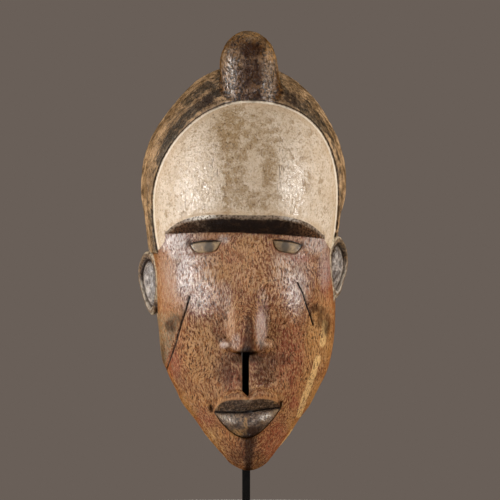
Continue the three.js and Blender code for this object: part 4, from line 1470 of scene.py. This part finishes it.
def bare_wood(where, seen):
    """Red-brown stain, worn through to paler wood on fine wavy ridges, with dark strokes of grain and a pale
    painted sheen.
    """
    tan = stored(where, "tan")
    red = broken(where, between(stored(where, "red"), 0.22, 0.78), 0.8, 0.25)
    ridges = seen["weave"] + stored(where, "yellow") * 0.09 + seen["patches"] * 0.25
    streaks = broken(where, between(stored(where, "pale_streaks"), 0.1, 0.9), 0.9, 0.1)
    grain = between(step(seen["clouds"], 0.34, 0.58), 0.45, 0.9) - tan * 0.3
    # A pale painted sheen, broken up by the ridges of the weave
    painted_sheen = stored(where, "painted_sheen") * between(step(seen["weave"], 0.40, 0.56), 0.25, 1.0)
    grey = broken(where, stored(where, "side_wall"), 1.0, 0.3) * step(seen["grains"], 0.34, 0.60)
    return layered(two_tones(step(seen["clouds"], 0.36, 0.64), "6e381c", "90582f"), [
        (red, 0.7, "92492f"),
        (broken(where, tan, 1.1, 0.5), 0.6, "bb8254"),
        (step(ridges, 0.57, 0.73), between(red, 0.75, 0.5), "bd8d59"),
        (seen["yellow"], 0.25, "b0803f"),
        (streaks, 0.8, "dcb174"),
        (seen["dark"], grain, "3e2012"),
        (painted_sheen, 0.66, "e2d8d3"),
        (grey, 0.7, "877d63"),
    ])


def hair_finish(where, seen):
    """Ochre wood with dark strokes along the hairline and remains of black paint."""
    out = stored(where, "from_hairline") + seen["patches"] * 0.05
    place = {"X": out * 32.0, "Z": stored(where, "along_hairline") * 62.0}
    streaks = noise(result(where.tree, "ShaderNodeCombineXYZ", place), 1.0, 3.0, 0.65)
    return layered(two_tones(step(seen["clouds"], 0.38, 0.62), "876948", "c9a379"), [
        (step(streaks, 0.47, 0.62), 0.75, "42301f"),
        (seen["dark"], 0.55, "2e2116"),
        (seen["pale"], 0.5, "d3ae80"),
        (broken(where, between(stored(where, "black_paint"), 0.16, 0.72), 1.3, 0.2), 0.82, "25211b"),
    ])


def knob_finish(where, seen):
    """Red-brown and pitted in the middle, worn to ochre on top, with a grey painted sheen at the sides."""
    return layered(two_tones(step(seen["patches"], 0.40, 0.62), "4c2e10", "704c24"), [
        # A grey painted sheen on the knob's sides
        (broken(where, stored(where, "polish_and_sheen"), 0.8, 0.3), 0.4, "8a7256"),
        (seen["pale"], 0.2, "8c7050"),
        (seen["yellow"], 0.8, "946a38"),
        (seen["pits"], 0.85, "1b1009"),
    ])


def white_finish(where, seen):
    """Off-white paint, soiled in two upright bands, speckled and finely cracked, with a painted highlight
    along its edge.
    """
    soil = step(stored(where, "dirt") + seen["clouds"] * 1.8 + seen["patches"] * 1.2, 1.35, 2.45)
    upright = noise(stretched(where, 0.0014, 0.016), 1.0, 3.0, 0.6) + stored(where, "cracklets") * 0.12
    # A painted highlight along the white paint's edge, where it rolls over to the hair
    painted_edge_highlight = hairline_line(where, -1.2, 0.07, 0.05)
    return layered(two_tones(step(seen["clouds"], 0.38, 0.66), "c5af95", "d9c7b2"), [
        (soil, 0.35, "977b50"),
        (step(seen["patches"] + soil * 0.2, 0.56, 0.74), 0.55, "88683c"),
        (step(seen["grains"] + soil * 0.12, 0.52, 0.66), 0.5, "8f7146"),
        (seen["specks"] * between(soil, 0.35, 0.9), 0.85, "593c1f"),
        (seen["pale"], 0.35, "ebe0cb"),
        (step(upright, 0.66, 0.72), 0.6, "5d4a34"),
        (step(stored(where, "white_paint"), 1.02, 0.66), 0.35, "b2926a"),
        (painted_edge_highlight, 0.6, "efe4d0"),
    ])


def brow_finish(where, seen):
    """Near black under the brow, browner at its ends, with a rubbed line along its crest and painted
    highlights on it.
    """
    light = stored(where, "crest_highlights")
    lit = stored(where, "brow_crest") + light * 0.12
    grit = step(seen["grains"] + seen["patches"] * 0.5, 0.66, 0.84)
    rubbed = broken(where, step(lit, -0.05, 0.36), 1.6, 0.3)
    # Near-white painted highlights on the crest, strongest on its left and right parts
    worn = step(lit, 0.20, 0.40) * step(seen["grains"], 0.34, 0.52) * between(light, 0.0, 1.2)
    return layered(tone("1c0f06"), [
        (step(seen["patches"], 0.48, 0.66), 0.6, "3b2513"),
        (stored(where, "brow_ends") * step(seen["grains"], 0.38, 0.60), 0.85, "7b5638"),
        (rubbed, 0.7, "57422e"),
        (rubbed * grit, 0.6, "97806a"),
        (worn, 0.9, "e9e1d6"),
    ])


def lip_finish(where, seen):
    """Black-brown lips with painted silver-grey highlights on the lower one, and ochre streaks in its
    middle.
    """
    dark_upper = two_tones(step(seen["grains"], 0.44, 0.62), "22170e", "6d5640")
    return layered(two_tones(step(seen["patches"], 0.40, 0.60), "3f2b1b", "735940"), [
        # Painted silver-grey highlights on the polished parts of the lower lip
        (stored(where, "polish_and_sheen") * step(seen["grains"], 0.36, 0.56), 0.7, "a48c74"),
        (broken(where, stored(where, "upper_lip"), 0.14, 0.08), 0.85, dark_upper),
        (broken(where, between(stored(where, "yellow"), 0.2, 0.8), 0.8, 0.1), 0.8, "9f7540"),
        (seen["dark"], 0.85, "1b120c"),
        (seen["specks"], 0.6, "17100b"),
    ])


def ear_finish(where, seen):
    """Grey-brown ears with a thin pale rim and painted shade in the groove inside it, darkest at the top."""
    share, upper = stored(where, "ear_share"), stored(where, "ear_upper")
    outer = laid(tone("8a6c4c"), step(seen["grains"], 0.40, 0.56), 0.85, "35261a")
    groove = step(share, 0.42, 0.46) * step(share, 0.53, 0.50)
    rim = step(share, 0.61, 0.64) * step(seen["patches"], 0.36, 0.56)
    inner_rim = step(share, 0.49, 0.52) * step(share, 0.58, 0.55)
    return layered(two_tones(step(seen["patches"], 0.40, 0.62), "4f4338", "a89b8e"), [
        (step(share, 0.50, 0.53), 0.85, outer),
        # Painted shade in the groove, darker on the ear's upper part
        (groove * between(upper, 0.35, 1.0), 0.9, "1f150e"),
        (rim, 0.85, "d6c4a6"),
        (inner_rim * between(upper, 1.0, 0.0), 0.8, "dccfbd"),
        (seen["dark"], 0.6, "33281f"),
    ])


# How far noise breaks the edge of each part's paint, and how soft the edge is
PAINT_EDGES = {
    "hair": (0.05, 0.03),
    "knob": (0.1, 0.08),
    "white_paint": (0.03, 0.02),
    "brow": (0.1, 0.04),
    "lips": (0.16, 0.06),
    "ears": (0.1, 0.08),
}


def patterns(where):
    """The noise, strokes, stains, painted shade and worn places that the layers of paint share."""
    yellow, ridges = stored(where, "yellow"), stored(where, "ridges")
    strokes = use(STROKES, Where=where, Dark=0.45, Pale=between(yellow, 0.15, 0.9))
    return {
        "clouds": noise(where, 55.0, 4.0, 0.6),
        "patches": noise(where, 150.0, 4.0, 0.65),
        "grains": noise(where, 460.0, 3.0, 0.65),
        "specks": use(SPECKS, Where=where, Size=0.0016, Amount=0.35)["Mask"],
        "pits": use(SPECKS, Where=where, Size=0.0026, Amount=0.6)["Mask"],
        "weave": strokes["Weave"],
        "glints": step(strokes["Weave"], 0.40, 0.58),
        "dark": strokes["Dark"],
        "pale": strokes["Pale"],
        "stroke_height": strokes["Height"],
        "yellow": broken(where, between(yellow, 0.2, 0.72), 0.9, 0.15),
        # Dark stains and painted shade, from the patches
        "stain_and_shade": broken(where, between(stored(where, "dark"), 0.12, 0.85), 0.8, 0.34),
        # Painted shade down the middle of the chin
        "chin": broken(where, stored(where, "painted_chin_shade"), 0.7, 0.35),
        "crevice": step(ridges, 0.40, 0.14),
        "worn": step(ridges, 0.58, 0.84),
    }


HAIRLINE_STEEPNESS = 8


def hairline_line(where, outside, thin, wander):
    """A drawn line that runs along the hairline, some millimetres outside it or, below 0, inside."""
    middle = 0.5 - outside * HAIRLINE_STEEPNESS / (2 * HAIRLINE_REACH)
    steep = HAIRLINE_STEEPNESS / 2
    value = between(stored(where, "from_hairline"), middle - steep, middle + steep)
    return use(LINE, Where=where, Value=value, Thin=thin, Wander=wander)["Mask"]


def with_lines(where, colour):
    """Dark lines on the cracks, and painted shadows under the lids, in and under the lips and by the hair's
    edge.
    """
    by_mouth = step(stored(where, "beside_mouth"), 0.3, 0.8)
    lines = [
        # Painted shadow under the fold of each upper lid
        ("painted_lid_shadow", 0.05, stored(where, "by_eyes") * 0.9),
        # Painted shade in the cut between the lips
        ("lip_line", 0.048, by_mouth * 0.95),
        # Painted shade under the lower lip
        ("under_lip", 0.06, by_mouth * 0.85),
        ("cracks", 0.035, stored(where, "crack_reach") * 0.95),
    ]
    for name, thin, strength in lines:
        line = use(LINE, Where=where, Value=stored(where, name), Thin=thin, Wander=0.05)["Mask"]
        colour = laid(colour, line, strength, "110a06")
    # A painted shadow of the hair's raised edge, drawn just outside the white paint and weaker low down
    hairline = hairline_line(where, 0.525, 0.045, 0.03)
    hairline_shadow = hairline * step(stored(where, "white_paint"), 0.25, 0.40) * stored(where, "hairline_shadow_strength")
    return laid(colour, hairline_shadow, 0.8, "1e1710")


def wood_colour(where, seen, painted):
    """The paint and wear of every part, then the stains and painted shade over them, and the bare hollow."""
    colour = bare_wood(where, seen)
    finishes = {"hair": hair_finish, "knob": knob_finish, "white_paint": white_finish, "brow": brow_finish}
    for name, finish in finishes.items():
        colour = over(painted[name], colour, finish(where, seen))
    above_lips = step(stored(where, "lips"), 0.26, 0.40) * stored(where, "over_mouth")
    worn = seen["worn"] * between(seen["stain_and_shade"], 1.0, 0.3)
    by_eyes = stored(where, "by_eyes")
    colour = layered(colour, [
        (above_lips, 0.55, "b78455"),
        (painted["lips"], 0.95, lip_finish(where, seen)),
        (painted["ears"], 0.92, ear_finish(where, seen)),
        # Dark stains, and painted shade under and down the nose, down the knob and in the corners of the
        # eyes and mouth
        (seen["stain_and_shade"], 0.8, "2e160b"),
        (worn, between(painted["ears"], 0.22, 0.1), "c7ab84"),
        # Near-black painted shadow under the nose and in the creases by its wings
        (stored(where, "painted_nose_shade"), 0.95, "0d0704"),
        (seen["crevice"] - by_eyes, 0.5, "21150d"),
        (by_eyes, 0.35, "a06a4c"),
        # Painted shade down the middle of the chin
        (seen["chin"], 0.88, "27150d"),
    ])
    colour = with_lines(where, colour)
    inner = two_tones(step(seen["patches"], 0.40, 0.65), "6b4c33", "8f6c4b")
    inner = laid(inner, seen["dark"], 0.6, "2c1d13")
    return over(step(stored(where, "outside"), 0.35, 0.65), inner, colour)


def wood_roughness(where, seen, painted):
    rough = between(seen["glints"], 0.50, 0.30)
    changes = [
        (painted["knob"], 0.05), (seen["pale"], 0.16), (seen["dark"], 0.12), (seen["crevice"], 0.25),
        (stored(where, "polish_and_sheen"), -0.16), (painted["lips"], -0.10), (painted["brow"], 0.25),
    ]
    for share, change in changes:
        rough = rough + share * change
    return rough + between(stored(where, "outside"), 0.35, 0.0)


def glancing_share(where):
    """0 where the surface faces the eye and 1 where it is seen at a glancing angle and dulled."""
    return step(result(where.tree, "ShaderNodeLayerWeight", {"Blend": 0.5}, "Facing"), 0.50, 0.76)


def wood_shine(where, seen, painted):
    """How strongly the wood shines: most where hands have rubbed it, least where it is dark or dusty."""
    boss = painted["ears"] * step(stored(where, "ear_share"), 0.47, 0.42)
    handled = largest(stored(where, "polish_and_sheen"), boss, painted["lips"] * 0.1)
    dark = largest(seen["dark"], seen["stain_and_shade"], seen["chin"], seen["crevice"], stored(where, "painted_nose_shade"))
    glance = glancing_share(where)
    shine = between(handled, 0.16, 1.0) * between(dark, 1.0, 0.25) * between(seen["glints"], 0.35, 1.0)
    shine = shine * between(stored(where, "upper_lip"), 1.0, 0.3) * between(glance, 1.0, 0.0)
    return over_number(painted["brow"], shine, between(glance, 0.03, 0.0))


def wood_height(where, seen, painted):
    """The fine relief of grain, paint and pits, smoother on the knob and the white paint."""
    relief = over_number(painted["white_paint"], over_number(painted["knob"], 1.0, 0.35), 0.25)
    height = seen["stroke_height"] * relief + noise(where, 1300.0, 2.0, 0.6) * 0.25 + seen["grains"] * 0.9
    return height + seen["pits"] * (painted["knob"] * -1.6)


def painted_wood():
    material, shader, where = new_material("worn_painted_wood")
    seen = patterns(where)
    painted = {name: broken(where, stored(where, name), *edge) for name, edge in PAINT_EDGES.items()}
    feed(shader["Base Color"], wood_colour(where, seen, painted))
    feed(shader["Roughness"], wood_roughness(where, seen, painted))
    feed(shader["Specular IOR Level"], wood_shine(where, seen, painted))
    feed(shader["Normal"], bumps(wood_height(where, seen, painted), 1.0, 0.0008))
    return material


def eye_glass():
    material, shader, where = new_material("dull_eye_glass")
    clouds = noise(where, 320.0, 3.0, 0.6)
    grit = step(noise(where, 520.0, 3.0, 0.65), 0.60, 0.42)
    ground = layered(two_tones(step(clouds, 0.35, 0.65), "7d664a", "a68a64"), [
        (stored(where, "iris"), 0.85, "33291f"),
        # Painted shade at the glass's outer end, speckled
        (stored(where, "corner") * grit, 0.95, "17100b"),
    ])
    feed(shader["Base Color"], ground)
    specks = use(SPECKS, Where=where, Size=0.0011, Amount=0.3)["Mask"]
    feed(shader["Roughness"], between(specks, 0.36, 0.6))
    glance = glancing_share(where)
    feed(shader["Coat Weight"], between(glance, 0.1, 0.0))
    feed(shader["Coat Roughness"], 0.3)
    feed(shader["Specular IOR Level"], between(glance, 0.3, 0.0))
    return material


def black_steel():
    material, shader, where = new_material("satin_black_steel")
    cloud = noise(where, 90.0, 3.0, 0.6)
    specks = use(SPECKS, Where=where, Size=0.0009, Amount=0.25)["Mask"]
    colour = two_tones(step(cloud, 0.4, 0.65), "060505", "0b0a09")
    feed(shader["Base Color"], laid(colour, specks, 0.4, "2a2622"))
    feed(shader["Roughness"], between(cloud, 0.5, 0.7))
    feed(shader["Specular IOR Level"], 0.02)
    feed(shader["Normal"], bumps(noise(where, 2600.0, 2.0, 0.5), 0.25, 0.0002))
    return material


def pale_floor():
    material, shader, where = new_material("pale_floor")
    feed(shader["Base Color"], two_tones(noise(where, 14.0, 3.0, 0.5), "b3aca4", "bcb6ae"))
    feed(shader["Roughness"], 0.8)
    return material


def make_floor():
    turns = [2 * math.pi * k / FLOOR["sides"] for k in range(FLOOR["sides"])]
    ring = [(FLOOR["radius"] * math.cos(t), FLOOR["radius"] * math.sin(t), FLOOR["height"]) for t in turns]
    mesh = bpy.data.meshes.new("floor")
    mesh.from_pydata(ring, [], [list(range(FLOOR["sides"]))])
    floor = bpy.data.objects.new("floor", mesh)
    floor.data.materials.append(pale_floor())
    bpy.context.scene.collection.objects.link(floor)


def make_surroundings():
    """Weak even light all round, and a plain grey-brown ground for the camera."""
    world = bpy.data.worlds.new("surroundings")
    world.use_nodes = True
    bpy.context.scene.world = world
    tree = world.node_tree
    tree.nodes.clear()
    lit, seen = [
        result(tree, "ShaderNodeBackground", {"Color": tone(light["tone"]), "Strength": light["strength"]})
        for light in (AIR_LIGHT, BACKGROUND)
    ]
    camera_ray = result(tree, "ShaderNodeLightPath", {}, "Is Camera Ray")
    both = result(tree, "ShaderNodeMixShader", {0: camera_ray, 1: lit, 2: seen})
    feed(node(tree, "ShaderNodeOutputWorld").inputs["Surface"], both)


def dress_stand(steel):
    """The stand keeps its solids, with their edges broken and a satin finish."""
    for name in ("stand_rod", "stand_plate"):
        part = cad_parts[name]
        part.data.materials.clear()
        part.data.materials.append(steel)
        part.modifiers.new("joined_faces", "WELD").merge_threshold = STEEL_EDGE["weld"]
        edges = part.modifiers.new("broken_edges", "BEVEL")
        edges.width = STEEL_EDGE["width"]
        edges.segments = 2
        edges.limit_method = "ANGLE"
        edges.angle_limit = math.radians(STEEL_EDGE["angle"])


bpy.context.scene.view_settings.view_transform = "Standard"
make_surroundings()
make_floor()
mask_piece = make_mask()
mask_piece.data.materials.append(painted_wood())
glass_finish = eye_glass()
for one in EYES:
    make_eye(one).data.materials.append(glass_finish)
dress_stand(black_steel())
